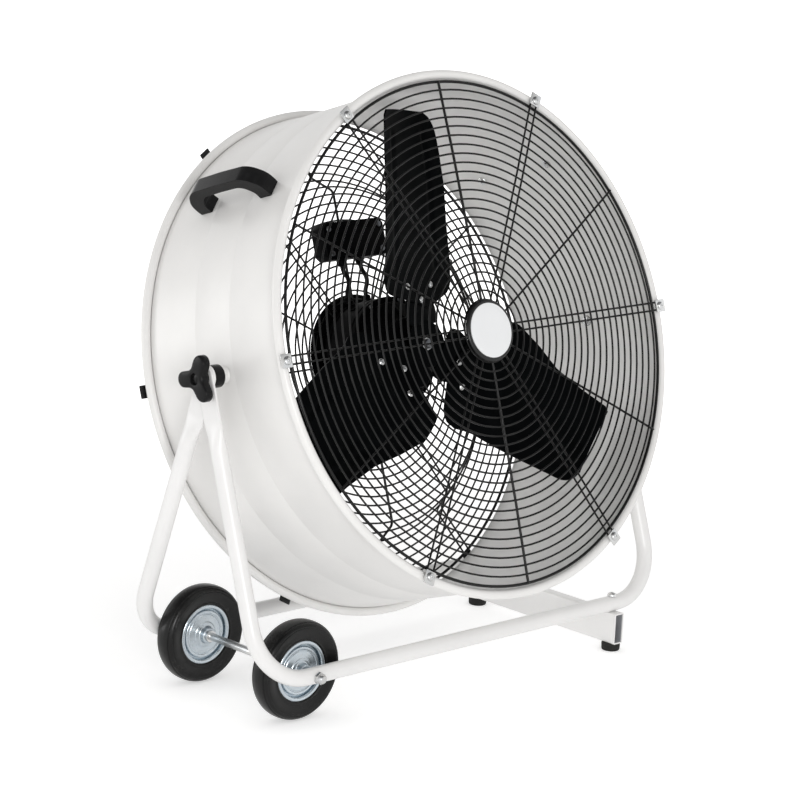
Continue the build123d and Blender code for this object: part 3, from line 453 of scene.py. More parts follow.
class Workpiece:
    """A mesh in millimetres that Blender's own operators shape."""

    def __init__(self) -> None:
        """Start with nothing."""
        self.mesh = bmesh.new()

    # -------- starting shapes
    def drawn(self, corners: Iterable[Corner], segments: int = 4) -> bmesh.types.BMFace:
        """Draw a face in the XZ plane.

        Args:
            corners: Its corners; a third number rounds a corner by that setback.
            segments: Flats in each rounded corner.

        Returns:
            The face.
        """
        made: list[tuple[bmesh.types.BMVert, float]] = []
        for corner in corners:
            vert = self.mesh.verts.new((corner[0], 0.0, corner[1]))
            made.append((vert, corner[2] if len(corner) > 2 else 0.0))
        self.mesh.faces.new([vert for vert, _ in made])
        for setback in sorted({r for _, r in made if r > 0}):
            bmesh.ops.bevel(self.mesh, geom=[v for v, r in made if r == setback], offset=setback,
                            offset_type="OFFSET", segments=segments, profile=0.5,
                            affect="VERTICES", clamp_overlap=False, material=-1)
        return largest(self.mesh)

    def _spun(self, steps: int) -> None:
        """Spin all edges once round Z."""
        bmesh.ops.spin(self.mesh, geom=self.mesh.verts[:] + self.mesh.edges[:],
                       cent=(0, 0, 0), axis=(0, 0, 1), dvec=(0, 0, 0), angle=TAU,
                       steps=steps, use_merge=True, use_normal_flip=False, use_duplicate=False)

    def _grown(self, loop: list) -> tuple[list, list]:
        """Extrude a loop of edges.

        Args:
            loop: The edges.

        Returns:
            The new vertices and the new loop.
        """
        grown = bmesh.ops.extrude_edge_only(self.mesh, edges=loop)["geom"]
        verts = verts_in(grown)
        ahead = set(verts)
        return verts, [edge for edge in edges_in(grown) if all(v in ahead for v in edge.verts)]

    @classmethod
    def turned(cls, corners: Iterable[Corner], steps: int = 64, segments: int = 4) -> "Workpiece":
        """Turn an outline of (radius, height, rounding) corners round Z.

        Args:
            corners: The outline, which may touch the axis.
            steps: Flats in a full turn.
            segments: Flats in each rounded corner.

        Returns:
            The closed turned piece.
        """
        piece = cls()
        face = piece.drawn(corners, segments)
        bmesh.ops.delete(piece.mesh, geom=[face], context="FACES_ONLY")
        on_axis = [edge for edge in piece.mesh.edges
                   if all(abs(vert.co.x) < 1e-5 for vert in edge.verts)]
        bmesh.ops.delete(piece.mesh, geom=on_axis, context="EDGES")
        piece._spun(steps)
        bmesh.ops.remove_doubles(piece.mesh, verts=piece.mesh.verts, dist=1e-4)
        return piece

    @classmethod
    def pressed(cls, corners: Iterable[Corner], depth: float, soften: float = 0.0,
                segments: int = 2, rounding: int = 4) -> "Workpiece":
        """Thicken an outline of (x, z, rounding) corners to both sides of the XZ plane.

        Args:
            corners: The outline.
            depth: Its whole thickness along Y.
            soften: Width of the bevel along the rims.
            segments: Flats in that bevel.
            rounding: Flats in each rounded corner.

        Returns:
            The piece.
        """
        piece = cls()
        face = piece.drawn(corners, rounding)
        bmesh.ops.translate(piece.mesh, verts=piece.mesh.verts, vec=(0, -depth / 2, 0))
        grown = bmesh.ops.extrude_face_region(piece.mesh, geom=[face])["geom"]
        bmesh.ops.translate(piece.mesh, vec=(0, depth, 0), verts=verts_in(grown))
        if soften:
            piece.softened(soften, segments)
        return piece

    @classmethod
    def rod(cls, radius: float, low: float, high: float, sides: int = 32,
            soften: float = 0.0) -> "Workpiece":
        """A round or many-sided bar along Z.

        Args:
            radius: Its radius.
            low: Height of its lower end.
            high: Height of its upper end.
            sides: Flats round it.
            soften: Width of the bevel round its ends.

        Returns:
            The bar.
        """
        piece = cls()
        bmesh.ops.create_cone(piece.mesh, cap_ends=True, segments=sides, radius1=radius,
                              radius2=radius, depth=high - low,
                              matrix=move(z=(low + high) / 2))
        return piece.softened(soften, 2, 60) if soften else piece

    @classmethod
    def hoop(cls, radius: float, height: float, wire: float, steps: int,
             sides: int = 8) -> "Workpiece":
        """A ring of round wire about Z.

        Args:
            radius: The ring's radius.
            height: Where it lies.
            wire: Radius of the wire.
            steps: Flats round the ring.
            sides: Flats round the wire.

        Returns:
            The ring.
        """
        piece = cls()
        bmesh.ops.create_circle(piece.mesh, segments=sides, radius=wire,
                                matrix=move(radius, 0, height) @ turn(90, "X"))
        piece._spun(steps)
        return piece

    @classmethod
    def bent(cls, path: Sequence[Corner], wire: float, sides: int = 8,
             step: float = 12.0) -> "Workpiece":
        """Feed and bend a round wire or tube along (x, z, bend radius) points.

        Args:
            path: Where the middle of the wire would go with sharp bends.
            wire: Its radius.
            sides: Flats round it.
            step: Degrees of a bend to each flat.

        Returns:
            The closed wire.
        """
        piece = cls()
        points = [Vector((point[0], 0, point[1])) for point in path]
        radii = [point[2] if len(point) > 2 else 0.0 for point in path]
        heading = (points[1] - points[0]).normalized()
        upright = Matrix.Rotation(math.atan2(heading.x, heading.z), 4, "Y")
        bmesh.ops.create_circle(piece.mesh, segments=sides, radius=wire,
                                matrix=Matrix.Translation(points[0]) @ upright)
        loop = piece.mesh.edges[:]
        bmesh.ops.edgeloop_fill(piece.mesh, edges=loop)
        spent = 0.0
        for index in range(1, len(points)):
            setback, angle = 0.0, 0.0
            if index < len(points) - 1:
                after = (points[index + 1] - points[index]).normalized()
                angle = math.atan2(heading.x * after.z - heading.z * after.x, heading.dot(after))
                setback = radii[index] * math.tan(abs(angle) / 2)
            feed = (points[index] - points[index - 1]).length - spent - setback
            verts, loop = piece._grown(loop)
            bmesh.ops.translate(piece.mesh, verts=verts, vec=heading * feed)
            if abs(angle) > 1e-4:
                side = math.copysign(1, angle)
                start = points[index] - heading * setback
                middle = start + Vector((-heading.z, 0, heading.x)) * radii[index] * side
                loop = edges_in(bmesh.ops.spin(
                    piece.mesh, geom=loop, cent=middle, axis=(0, -1, 0), dvec=(0, 0, 0),
                    angle=angle, steps=max(2, round(abs(math.degrees(angle)) / step)),
                    use_merge=False, use_normal_flip=False, use_duplicate=False)["geom_last"])
                heading = after
            spent = setback
        bmesh.ops.edgeloop_fill(piece.mesh, edges=loop)
        return piece

    @classmethod
    def stacked(cls, rings: Sequence[tuple[Callable[[float], float] | float, float]],
                sides: int = 72) -> "Workpiece":
        """Extrude a circle from ring to ring.

        Args:
            rings: Each one a radius, or a radius for every angle, and a height.
            sides: Flats round it.

        Returns:
            The closed piece.
        """
        piece = cls()
        bmesh.ops.create_circle(piece.mesh, segments=sides, radius=1.0)
        loop = piece.mesh.edges[:]
        verts = piece.mesh.verts[:]
        bmesh.ops.edgeloop_fill(piece.mesh, edges=loop)
        for index, (radius, height) in enumerate(rings):
            if index:
                verts, loop = piece._grown(loop)
            for vert in verts:
                angle = math.atan2(vert.co.y, vert.co.x)
                reach = radius(angle) if callable(radius) else radius
                vert.co = (reach * math.cos(angle), reach * math.sin(angle), height)
        bmesh.ops.edgeloop_fill(piece.mesh, edges=loop)
        return piece

    # -------- changes
    def softened(self, width: float, segments: int = 2, limit: float = 30.0) -> "Workpiece":
        """Bevel the sharp edges.

        Args:
            width: Width of the bevel.
            segments: Flats in it.
            limit: Angle between faces, in degrees, over which an edge is sharp.

        Returns:
            The same piece.
        """
        bmesh.ops.recalc_face_normals(self.mesh, faces=self.mesh.faces)
        edges = [edge for edge in self.mesh.edges if len(edge.link_faces) == 2
                 and edge.calc_face_angle(0.0) > math.radians(limit)]
        bmesh.ops.bevel(self.mesh, geom=edges, offset=width, offset_type="OFFSET",
                        segments=segments, profile=0.5, affect="EDGES", clamp_overlap=True,
                        material=-1)
        return self

    def shaped(self, change: Callable[[Vector], Vector]) -> "Workpiece":
        """Move every vertex.

        Args:
            change: From where a vertex is to where it goes.

        Returns:
            The same piece.
        """
        for vert in self.mesh.verts:
            vert.co = change(vert.co)
        return self

    def add(self, other: "Workpiece", *places: Matrix) -> "Workpiece":
        """Add copies of another workpiece.

        Args:
            other: What is copied.
            places: One for each copy; none is one copy in place.

        Returns:
            The same piece.
        """
        for place in places or (ONE,):
            copy = bpy.data.meshes.new("copy")
            other.mesh.to_mesh(copy)
            copy.transform(place)
            self.mesh.from_mesh(copy)
            bpy.data.meshes.remove(copy)
        return self

    # -------- handing over
    def show(self, name: str, finish: Finish, node: str = "", body: Body = Body.DRUM,
             place: Matrix = DRUM, sharp: float = 34.0) -> None:
        """Finish the piece as one object that rides on a body.

        Args:
            name: The piece's name.
            finish: Its finish.
            node: The CAD node that it stands for.
            body: The body that it rides on.
            place: From its drawing to the fan's own coordinates, in millimetres.
            sharp: Angle over which an edge stays sharp, in degrees.
        """
        bmesh.ops.remove_doubles(self.mesh, verts=self.mesh.verts, dist=5e-4)
        bmesh.ops.recalc_face_normals(self.mesh, faces=self.mesh.faces)
        bmesh.ops.transform(self.mesh, matrix=Matrix.Scale(MM, 4) @ place, verts=self.mesh.verts)
        mesh = bpy.data.meshes.new(name)
        self.mesh.to_mesh(mesh)
        self.mesh.free()
        mesh.polygons.foreach_set("use_smooth", [True] * len(mesh.polygons))
        mesh.set_sharp_from_angle(angle=math.radians(sharp))
        mesh.materials.append(finish.make())
        hand_over(linked(name, mesh), body, node)
        LOG.info("%s on %s, %d faces", name, body.value, len(mesh.polygons))


def around(count: int, radius: float, start: float = 0.0) -> list[Matrix]:
    """Places evenly round Z, counted upwards from +X as seen from the front."""
    return [turn(-start - 360 / count * index, "Z") @ move(radius) for index in range(count)]


def mirrored(side: Sequence[Corner]) -> list[Corner]:
    """An outline's corners and the same ones below them, with Z turned over."""
    return [*side, *((x, -z, *rounding) for x, z, *rounding in reversed(side))]


def arc(x: float, z: float, radius: float, start: float, end: float, steps: int) -> list[Corner]:
    """Points of an arc, in degrees from +X towards +Z."""
    angles = [math.radians(start + (end - start) * index / steps) for index in range(steps + 1)]
    return [(x + radius * math.cos(a), z + radius * math.sin(a)) for a in angles]


# ------------------------------------------------------------------ screws
class Head(Enum):
    """Kinds of screw heads."""

    PAN = "domed head with a cross recess"
    HEX = "six-sided head"
    ACORN = "six-sided nut with a dome"


@dataclass(frozen=True)
class Screw:
    """A screw or nut, drawn with its seat at the origin and its head along +Z."""

    radius: float
    height: float
    head: Head = Head.PAN
    shank: float = 0.0
    depth: float = 0.0

    def shape(self) -> Workpiece:
        """Build the head and its shank.

        Returns:
            The screw.
        """
        r, h = self.radius, self.height
        piece = Workpiece()
        if self.head is Head.PAN:
            dome = [(r * 0.2, h - 0.45 * h), (r * 0.24, h), (r * 0.5, h * 0.97),
                    (r * 0.8, h * 0.78), (r, h * 0.4, 0.3 * h), (r, 0.0), (0.0, 0.0),
                    (0.0, h * 0.55)]
            piece.add(Workpiece.turned(dome, 28, 3))
            wing = Workpiece.pressed([(r * 0.16, h * 0.5), (r * 0.62, h * 0.86),
                                      (r * 0.62, h * 0.98), (r * 0.16, h * 1.02)], r * 0.17)
            piece.add(wing, *[turn(90 * index, "Z") for index in range(4)])
        elif self.head is Head.HEX:
            piece.add(Workpiece.rod(r, h * 0.12, h, 6, h * 0.12), turn(12, "Z"))
            piece.add(Workpiece.turned([(0, 0), (r, 0), (r, h * 0.14), (0, h * 0.14)], 32))
        else:
            piece.add(Workpiece.rod(r, 0, h * 0.5, 6, h * 0.05))
            dome = [(0, h * 0.4), (r * 0.84, h * 0.4)] + arc(0, h * 0.5, r * 0.82, 0, 76, 6)
            piece.add(Workpiece.turned([(x, min(z, h)) for x, z in dome] + [(0, h)], 32))
        if self.shank:
            piece.add(Workpiece.rod(self.shank, -self.depth, 0.2, 20, 0.3))
        return piece


# ------------------------------------------------------------------ drum
RIM = 389.7         # middle of the beads that the guards lie on
RING_PITCH = 13.8   # from one ring of a guard to the next
FRONT_RING = 47.0   # innermost ring of the front guard
REAR_RING = 92.0    # innermost ring of the rear guard
SPOKE_END = 394.2   # outer end of a guard's spokes


@dataclass(frozen=True)
class DrumShell:
    """Rolled sheet drum with a beaded rim and a raised collar at each end."""

    rim: float = RIM
    bead: float = 7.0
    front: float = -139.0
    rear: float = 163.6
    sheet: float = 2.0
    collar: float = 384.0
    wall: float = 381.5
    collar_length: float = 22.0
    step_length: float = 22.0
    roll_lines: tuple[float, ...] = (57.0, -22.0)

    def build(self) -> None:
        """Turn the shell."""
        low, high, t = self.front, self.rear, self.sheet
        gap, foot = 0.9, self.collar - 1.4
        edge = math.sqrt(self.bead ** 2 - (self.rim - self.collar) ** 2)
        near, far = low + self.collar_length, high - self.collar_length
        inner = [(self.collar - t, near), (self.wall - t, near + self.step_length),
                 (self.wall - t, far - self.step_length), (self.collar - t, far)]
        outer = [(self.collar, far), (self.wall, far - self.step_length)]
        for line in self.roll_lines:
            outer += [(self.wall, line + 1.6), (self.wall - 0.35, line), (self.wall, line - 1.6)]
        outer += [(self.wall, near + self.step_length), (self.collar, near)]
        outline = [(self.collar, low + edge + gap, 0.3), (foot, low + edge + gap),
                   (foot, low + 1.2)]
        outline += arc(self.rim, low, self.bead, 175, -168, 36)
        outline += [(self.collar - t, low - 0.4)] + inner + [(self.collar - t, high + 0.4)]
        outline += arc(self.rim, high, self.bead, 168, -175, 36)
        outline += [(foot, high - 1.2), (foot, high - edge - gap),
                    (self.collar, high - edge - gap, 0.3)]
        outline += outer
        Workpiece.turned(outline, 240, 4).show("rolled_drum_sheet", DRUM_PAINT, "drum_shell")


@dataclass(frozen=True)
class WireGuard:
    """A welded guard: thin rings on paired and single spokes, and a heavy outer ring.

    Attributes:
        name: Front or rear.
        line: Bends of a spoke from the rim to the middle.
        inner: Radius of the innermost ring.
        outward: -1 for the front, 1 for the rear.
    """

    name: str
    line: tuple[tuple[float, float], ...]
    inner: float
    outward: int
    pitch: float = RING_PITCH
    outer: float = 378.0
    wire: float = 1.5
    heavy: float = 2.3
    stand: float = 2.52
    spread: float = 12.0

    def height(self, radius: float) -> float:
        """How high a spoke is.

        Args:
            radius: Distance from the guard's middle.

        Returns:
            Height of the spoke's middle.
        """
        for (far, z_far), (near, z_near) in zip(self.line, self.line[1:]):
            if radius >= near:
                return z_near + (z_far - z_near) * (radius - near) / (far - near)
        return self.line[-1][1]

    def build(self) -> None:
        """Weld the guard together."""
        guard = Workpiece()
        path = [(radius, z, 14.0) for radius, z in self.line]
        pair = Workpiece.bent(path, self.wire, 8, 14)
        single = Workpiece.bent(path[1:], self.wire * 1.15, 8, 14)
        stout = Workpiece.bent(path[1:], self.wire * 1.35, 8, 14)
        for index in range(6):
            for side in (-0.5, 0.5):
                guard.add(pair, turn(60 * index, "Z") @ move(y=side * self.spread))
            angle = 60 * index + 30
            guard.add(stout if angle in (90, 270) else single, turn(angle, "Z"))
        radius = self.inner
        while radius < self.outer - self.pitch / 2:
            level = self.height(radius) + self.outward * self.stand
            steps = 72 if radius < 150 else 120
            guard.add(Workpiece.hoop(radius, level, self.wire, steps, 7))
            radius += self.pitch
        level = self.line[1][1] - self.outward * (self.wire + self.heavy - 0.6)
        guard.add(Workpiece.hoop(self.outer, level, self.heavy, 160, 9))
        guard.show(f"{self.name}_wire_guard", WIRE_COAT, f"{self.name}_guard", sharp=50)


@dataclass(frozen=True)
class RimFasteners:
    """Six square clips and six screws that hold a guard on its bead."""

    name: str
    face: float
    outward: int
    clip_finish: Finish
    screw_finish: Finish
    rim: float = RIM
    wire: float = 2 * WireGuard.wire
    side: float = 20.0
    thick: float = 1.6
    out: float = 1.3

    def build(self) -> None:
        """Make the clips and the screws."""
        seat = self.face + self.outward * (self.wire + 0.1)
        half, lip = self.side / 2, 1.5
        plate = Workpiece.pressed([(self.out - half, -half, lip), (self.out + half, -half, lip),
                                   (self.out + half, half, lip), (self.out - half, half, lip)],
                                  self.thick, 0.35)
        middle = move(z=seat + self.outward * self.thick / 2) @ turn(90, "X")
        spots = around(6, self.rim)
        clips = Workpiece().add(plate, *[spot @ middle for spot in spots])
        clips.show(f"{self.name}_rim_clips", self.clip_finish, f"{self.name}_guard_clips")
        top = move(z=seat + self.outward * (self.thick + SEAT))
        flip = ONE if self.outward > 0 else turn(180, "X")
        screw = Screw(6.5, 4.0, Head.PAN, 3.0, 4.5).shape()
        screws = Workpiece()
        for index, spot in enumerate(spots):
            screws.add(screw, spot @ top @ flip @ turn(31 * index, "Z"))
        screws.show(f"{self.name}_rim_screws", self.screw_finish, f"{self.name}_guard_bolts")


@dataclass(frozen=True)
class Badge:
    """Plain round badge in the middle of the front guard."""

    back: float = -159.69
    radius: float = 41.0
    holder: float = 47.0

    def build(self) -> None:
        """Make the moulded ring and the blank face."""
        front = self.back - 5.0
        ring = [(0, self.back), (self.holder, self.back, 0.8), (self.holder, front + 1.8, 1.6),
                (self.holder - 2.6, front, 1.2), (self.radius + 0.5, front, 0.3),
                (self.radius + 0.5, front + 0.5), (0, front + 0.5)]
        Workpiece.turned(ring, 96).show("badge_ring", BADGE_BLACK, "badge_holder")
        top = self.back - 6.6
        face = [(0, front + 0.4), (self.radius, front + 0.4), (self.radius, top + 0.55, 0.4),
                (self.radius * 0.6, top + 0.1), (0, top)]
        Workpiece.turned(face, 96).show("badge_face", BADGE_WHITE, "badge_disc")


# ------------------------------------------------------------------ motor
@dataclass(frozen=True)
class Motor:
    """Motor on the rear guard, with its end shields, clamp plate and screws."""

    radius: float = 84.0
    front: float = 46.0
    nose_radius: float = 46.0
    nose: float = 4.0
    back: float = 115.6
    rear: float = 122.6
    mount_seat: float = 128.45
    screw_circle: float = 79.5

    def build(self) -> None:
        """Make the housing, shields, plate and screws."""
        self._housing()
        self._front_shield()
        self._rear_shield()
        self._shield_screws()
        self._clamp()

    def _housing(self) -> None:
        """The body with two grooves and two pads."""
        r, front, back = self.radius, self.front, self.back
        body = [(0, front), (r - 1.5, front, 1.2), (r, front + 2, 1.0), (r, front + 10),
                (r - 1.2, front + 11), (r - 1.2, front + 13), (r, front + 14), (r, back - 14),
                (r - 1.2, back - 13), (r - 1.2, back - 11), (r, back - 10), (r, back, 1.0),
                (0, back)]
        housing = Workpiece.turned(body, 128)
        pad = Workpiece.pressed([(-5, 0, 1), (5, 0, 1), (5, 8, 1), (-5, 8, 1)], back - front - 34)
        for angle in (200, 340):
            housing.add(pad, turn(-angle, "Z") @ turn(90, "Y") @ turn(-90, "X")
                        @ move(-80, 0, r - 8.2))
        housing.show("motor_body", MOTOR_PAINT, "motor_housing")

    def _front_shield(self) -> None:
        """The ribbed shield round the shaft."""
        bore, brim, front, nose = 9.8, self.screw_circle - 4.5, self.front, self.nose
        seat = front - SEAT
        shield = Workpiece.turned(
            [(bore, nose, 0.6), (22, nose, 1), (24, nose + 2, 1), (38, nose + 2, 2),
             (self.nose_radius, nose + 5, 3), (self.nose_radius + 1, nose + 15, 5),
             (brim - 2, front - 8, 4), (brim, front - 6, 2), (brim, seat), (bore, seat)], 96, 5)
        rib = Workpiece.pressed([(46, nose + 10, 1), (72, front - 9.6, 1), (72, front - 3),
                                 (46, front - 3)], 4.0, 0.8)
        shield.add(rib, *[turn(45 * index, "Z") for index in range(8)])
        shield.show("front_end_shield", MOTOR_PAINT, "motor_front_shield")

    def _rear_shield(self) -> None:
        """The plain shield at the back."""
        r, low, high = self.radius, self.back + SEAT, self.rear
        shield = [(0, low), (r - 2, low, 1), (r - 2, high - 2, 1.6), (r - 6, high, 2), (0, high)]
        Workpiece.turned(shield, 96).show("rear_end_shield", MOTOR_PAINT, "motor_rear_shield")

    def _shield_screws(self) -> None:
        """Eight screws round the front shield."""
        screws = Workpiece().add(Screw(3.5, 3.0).shape(), *[
            spot @ move(z=self.front - SEAT) @ turn(180, "X")
            for spot in around(8, self.screw_circle, 27.5)])
        screws.show("shield_screws", DULL_ZINC, "motor_shield_screws")

    def _clamp(self) -> None:
        """The plate that clamps the motor to the rear guard, and its bolts."""
        low, high = self.mount_seat, self.mount_seat + 3
        plate = [(0, low), (100, low, 0.6), (100, high, 0.9), (92, high, 1), (90, high - 0.8, 1),
                 (48, high - 0.8, 1), (46, high, 1), (0, high)]
        Workpiece.turned(plate, 96).show("clamp_plate", MOTOR_PAINT, "motor_mount_plate")
        bolts = Workpiece().add(Screw(7.0, 5.0, Head.HEX, 4.0, 8.5).shape(), *[
            spot @ move(z=high + SEAT) for spot in around(4, 66.0, 45)])
        bolts.show("clamp_plate_bolts", ZINC, "motor_mount_bolts")


# ------------------------------------------------------------------ rotor
@dataclass(frozen=True)
class Station:
    """A cut across a blade: its two edges, its place and pitch, and its camber."""

    height: float
    left: float
    right: float
    place: float
    pitch: float
    camber: float = 0.0


@dataclass(frozen=True)
class Rotor:
    """Three pressed blades riveted to a hub on the motor's shaft.

    Attributes:
        root: Height and edges of each cut through a blade's flat root.
        paddle: The cuts further out, where the sheet is twisted and cambered.
        ribs: Place across the blade and depth of its two long ribs.
        rib_ends: Heights between which the ribs are pressed.
        rivets: Place across and height of each rivet in a root.
        tip_round: How far the trailing corner of the tip is rounded back.
        tip_nick: The same for the leading corner.
    """

    root_place: float = -27.7
    root_pitch: float = 14.6
    root: tuple[tuple[float, float, float], ...] = (
        (55, 14, 24), (61.4, -4, 40), (66, -24, 53), (73, -54, 73), (80, -78, 83), (90, -86, 90))
    paddle: tuple[Station, ...] = (
        Station(108, -86.6, 93.5, -29, 14.7), Station(122, -87, 92, -34, 15.2, 1),
        Station(140, -86.9, 91, -38.5, 16.1, 3), Station(190, -73.3, 93.8, -41.6, 15.6, 6),
        Station(240, -56.5, 95.5, -44, 13, 7), Station(300, -45.6, 94.7, -47.7, 13.1, 7),
        Station(360, -37.1, 92.9, -52.9, 16.2, 7))
    tip: float = 357.0
    sheet: float = 2.5
    hub_front: float = -24.95
    hub_rear: float = 3.7
    bore: float = 9.55
    shaft: float = 9.5
    shaft_end: float = 45.7
    ribs: tuple[tuple[float, float], ...] = ((0.56, 2.6), (-0.66, 2.2))
    rib_width: float = 0.11
    rib_ends: tuple[float, float] = (104.0, 330.0)
    rib_fade: float = 16.0
    rivets: tuple[tuple[float, float], ...] = ((-29.6, 89.1), (32.8, 89.2), (2.0, 66.9))
    tip_round: float = 24.0
    tip_nick: float = 5.0

    def _station(self, cuts: Sequence[Station], height: float) -> Station:
        """The cut at any height.

        Args:
            cuts: The cuts that are known, upwards.
            height: Where the cut is wanted.

        Returns:
            A cut between its two neighbours.
        """
        for low, high in zip(cuts, cuts[1:]):
            if height <= high.height:
                share = (height - low.height) / (high.height - low.height)
                pairs = zip(vars(low).values(), vars(high).values())
                return Station(*[a + (b - a) * share for a, b in pairs])
        return cuts[-1]

    def _blade(self) -> Workpiece:
        """Press one blade that points up along +Y, seen from behind its front face.

        Returns:
            The blade.
        """
        blade = Workpiece()
        bmesh.ops.create_grid(blade.mesh, x_segments=44, y_segments=80, size=0.5)
        cuts = [Station(*cut, self.root_place, self.root_pitch) for cut in self.root]
        cuts += self.paddle
        low = cuts[0].height
        start, end = self.rib_ends

        def press(point: Vector) -> Vector:
            """Move a point of the flat square onto the blade.

            Args:
                point: The point, within half a unit of the middle.

            Returns:
                Its place on the blade.
            """
            u, v = point.x * 2, point.y + 0.5
            near_tip = max(0.0, (v - 0.9) / 0.1)
            cut = self._station(cuts, low + (self.tip - low) * v)
            right = cut.right - self.tip_round * (1 - math.sqrt(max(0.0, 1 - near_tip ** 2)))
            left = cut.left + self.tip_nick * max(0.0, (v - 0.975) / 0.025)
            x = (left + right) / 2 + (right - left) / 2 * u
            reach = math.sqrt(max(0.0, self.tip ** 2 - x ** 2)) - 0.4
            height = low + (reach - low) * v
            place = cut.place + math.tan(math.radians(cut.pitch)) * x + cut.camber * (1 - u * u)
            fade = (min(1.0, max(0.0, (height - start) / self.rib_fade))
                    * min(1.0, max(0.0, (end - height) / self.rib_fade)))
            for rib, deep in self.ribs:
                place += deep * fade * max(0.0, 1 - ((u - rib) / self.rib_width) ** 2) ** 2
            return Vector((x, height, place))

        blade.shaped(press)
        bmesh.ops.recalc_face_normals(blade.mesh, faces=blade.mesh.faces)
        if blade.mesh.faces[:][0].normal.z > 0:
            bmesh.ops.reverse_faces(blade.mesh, faces=blade.mesh.faces)
        bmesh.ops.solidify(blade.mesh, geom=blade.mesh.faces[:], thickness=self.sheet)
        return blade

    def _hub(self, spots: Sequence[Matrix]) -> None:
        """The stepped hub and its three arms.

        Args:
            spots: The places of the blades.
        """
        front, rear, bore = self.hub_front, self.hub_rear, self.bore
        hub = Workpiece.turned(
            [(bore, front, 0.3), (36, front, 0.6), (36, front + 3, 0.6), (22, front + 3, 1.5),
             (19, front + 6, 1.5), (19, rear, 0.8), (bore, rear, 0.3)], 72)
        edge = [(20, -40, 3), (26, -12, 14), (41, 10, 9), (41, 38, 9)]
        arm = Workpiece.pressed(
            [(-20, -40, 3), *edge, *((-x, z, r) for x, z, r in reversed(edge[1:]))], 3.0, 0.5)
        root = (move(0, 68, self.root_place) @ turn(-self.root_pitch, "Y")
                @ move(z=self.sheet + 1.6))
        hub.add(arm, *[spot @ root @ turn(90, "X") for spot in spots])
        hub.show("riveted_hub", BLADE_PAINT, "rotor_hub", Body.ROTOR)

    def _rivets(self, spots: Sequence[Matrix]) -> None:
        """Three hollow rivet heads on each blade.

        Args:
            spots: The places of the blades.
        """
        head = Workpiece.turned([(0, SEAT), (5.5, SEAT), (5.5, 0.7, 0.3), (4.4, 1.7, 0.6),
                                 (2.6, 2.55), (1.7, 2.55, 0.2), (1.5, 1.6), (0, 1.5)], 24)
        slope = math.tan(math.radians(self.root_pitch))
        rivets = Workpiece()
        for spot in spots:
            for x, height in self.rivets:
                seat = move(x, height, self.root_place + x * slope)
                rivets.add(head, spot @ seat @ turn(-self.root_pitch, "Y") @ turn(180, "X"))
        rivets.show("blade_rivet_heads", ZINC, "blade_rivets", Body.ROTOR)

    def build(self) -> None:
        """Make the shaft, hub, blades, rivets and hub bolt."""
        front, shaft, end = self.hub_front, self.shaft, self.shaft_end
        bar = [(0, front), (shaft, front, 0.6), (shaft, end, 0.6), (0, end)]
        Workpiece.turned(bar, 40).show("rotor_shaft", AXLE_ZINC, "motor_shaft", Body.ROTOR)
        flip = Matrix.Scale(-1, 4, (0, 1, 0))
        spots = [turn(120 * index, "Z") @ flip for index in range(3)]
        self._hub(spots)
        for number, spot in enumerate(spots, 1):
            Workpiece().add(self._blade(), spot).show(
                f"pressed_blade_{number}", BLADE_PAINT, f"blade_{number}", Body.ROTOR, sharp=40)
        self._rivets(spots)
        bolt = Screw(8.0, 5.5, Head.HEX, 4.0, 18.0).shape()
        Workpiece().add(bolt, move(z=front - SEAT) @ turn(180, "X")).show(
            "hub_screw", DULL_ZINC, "hub_bolt", Body.ROTOR)


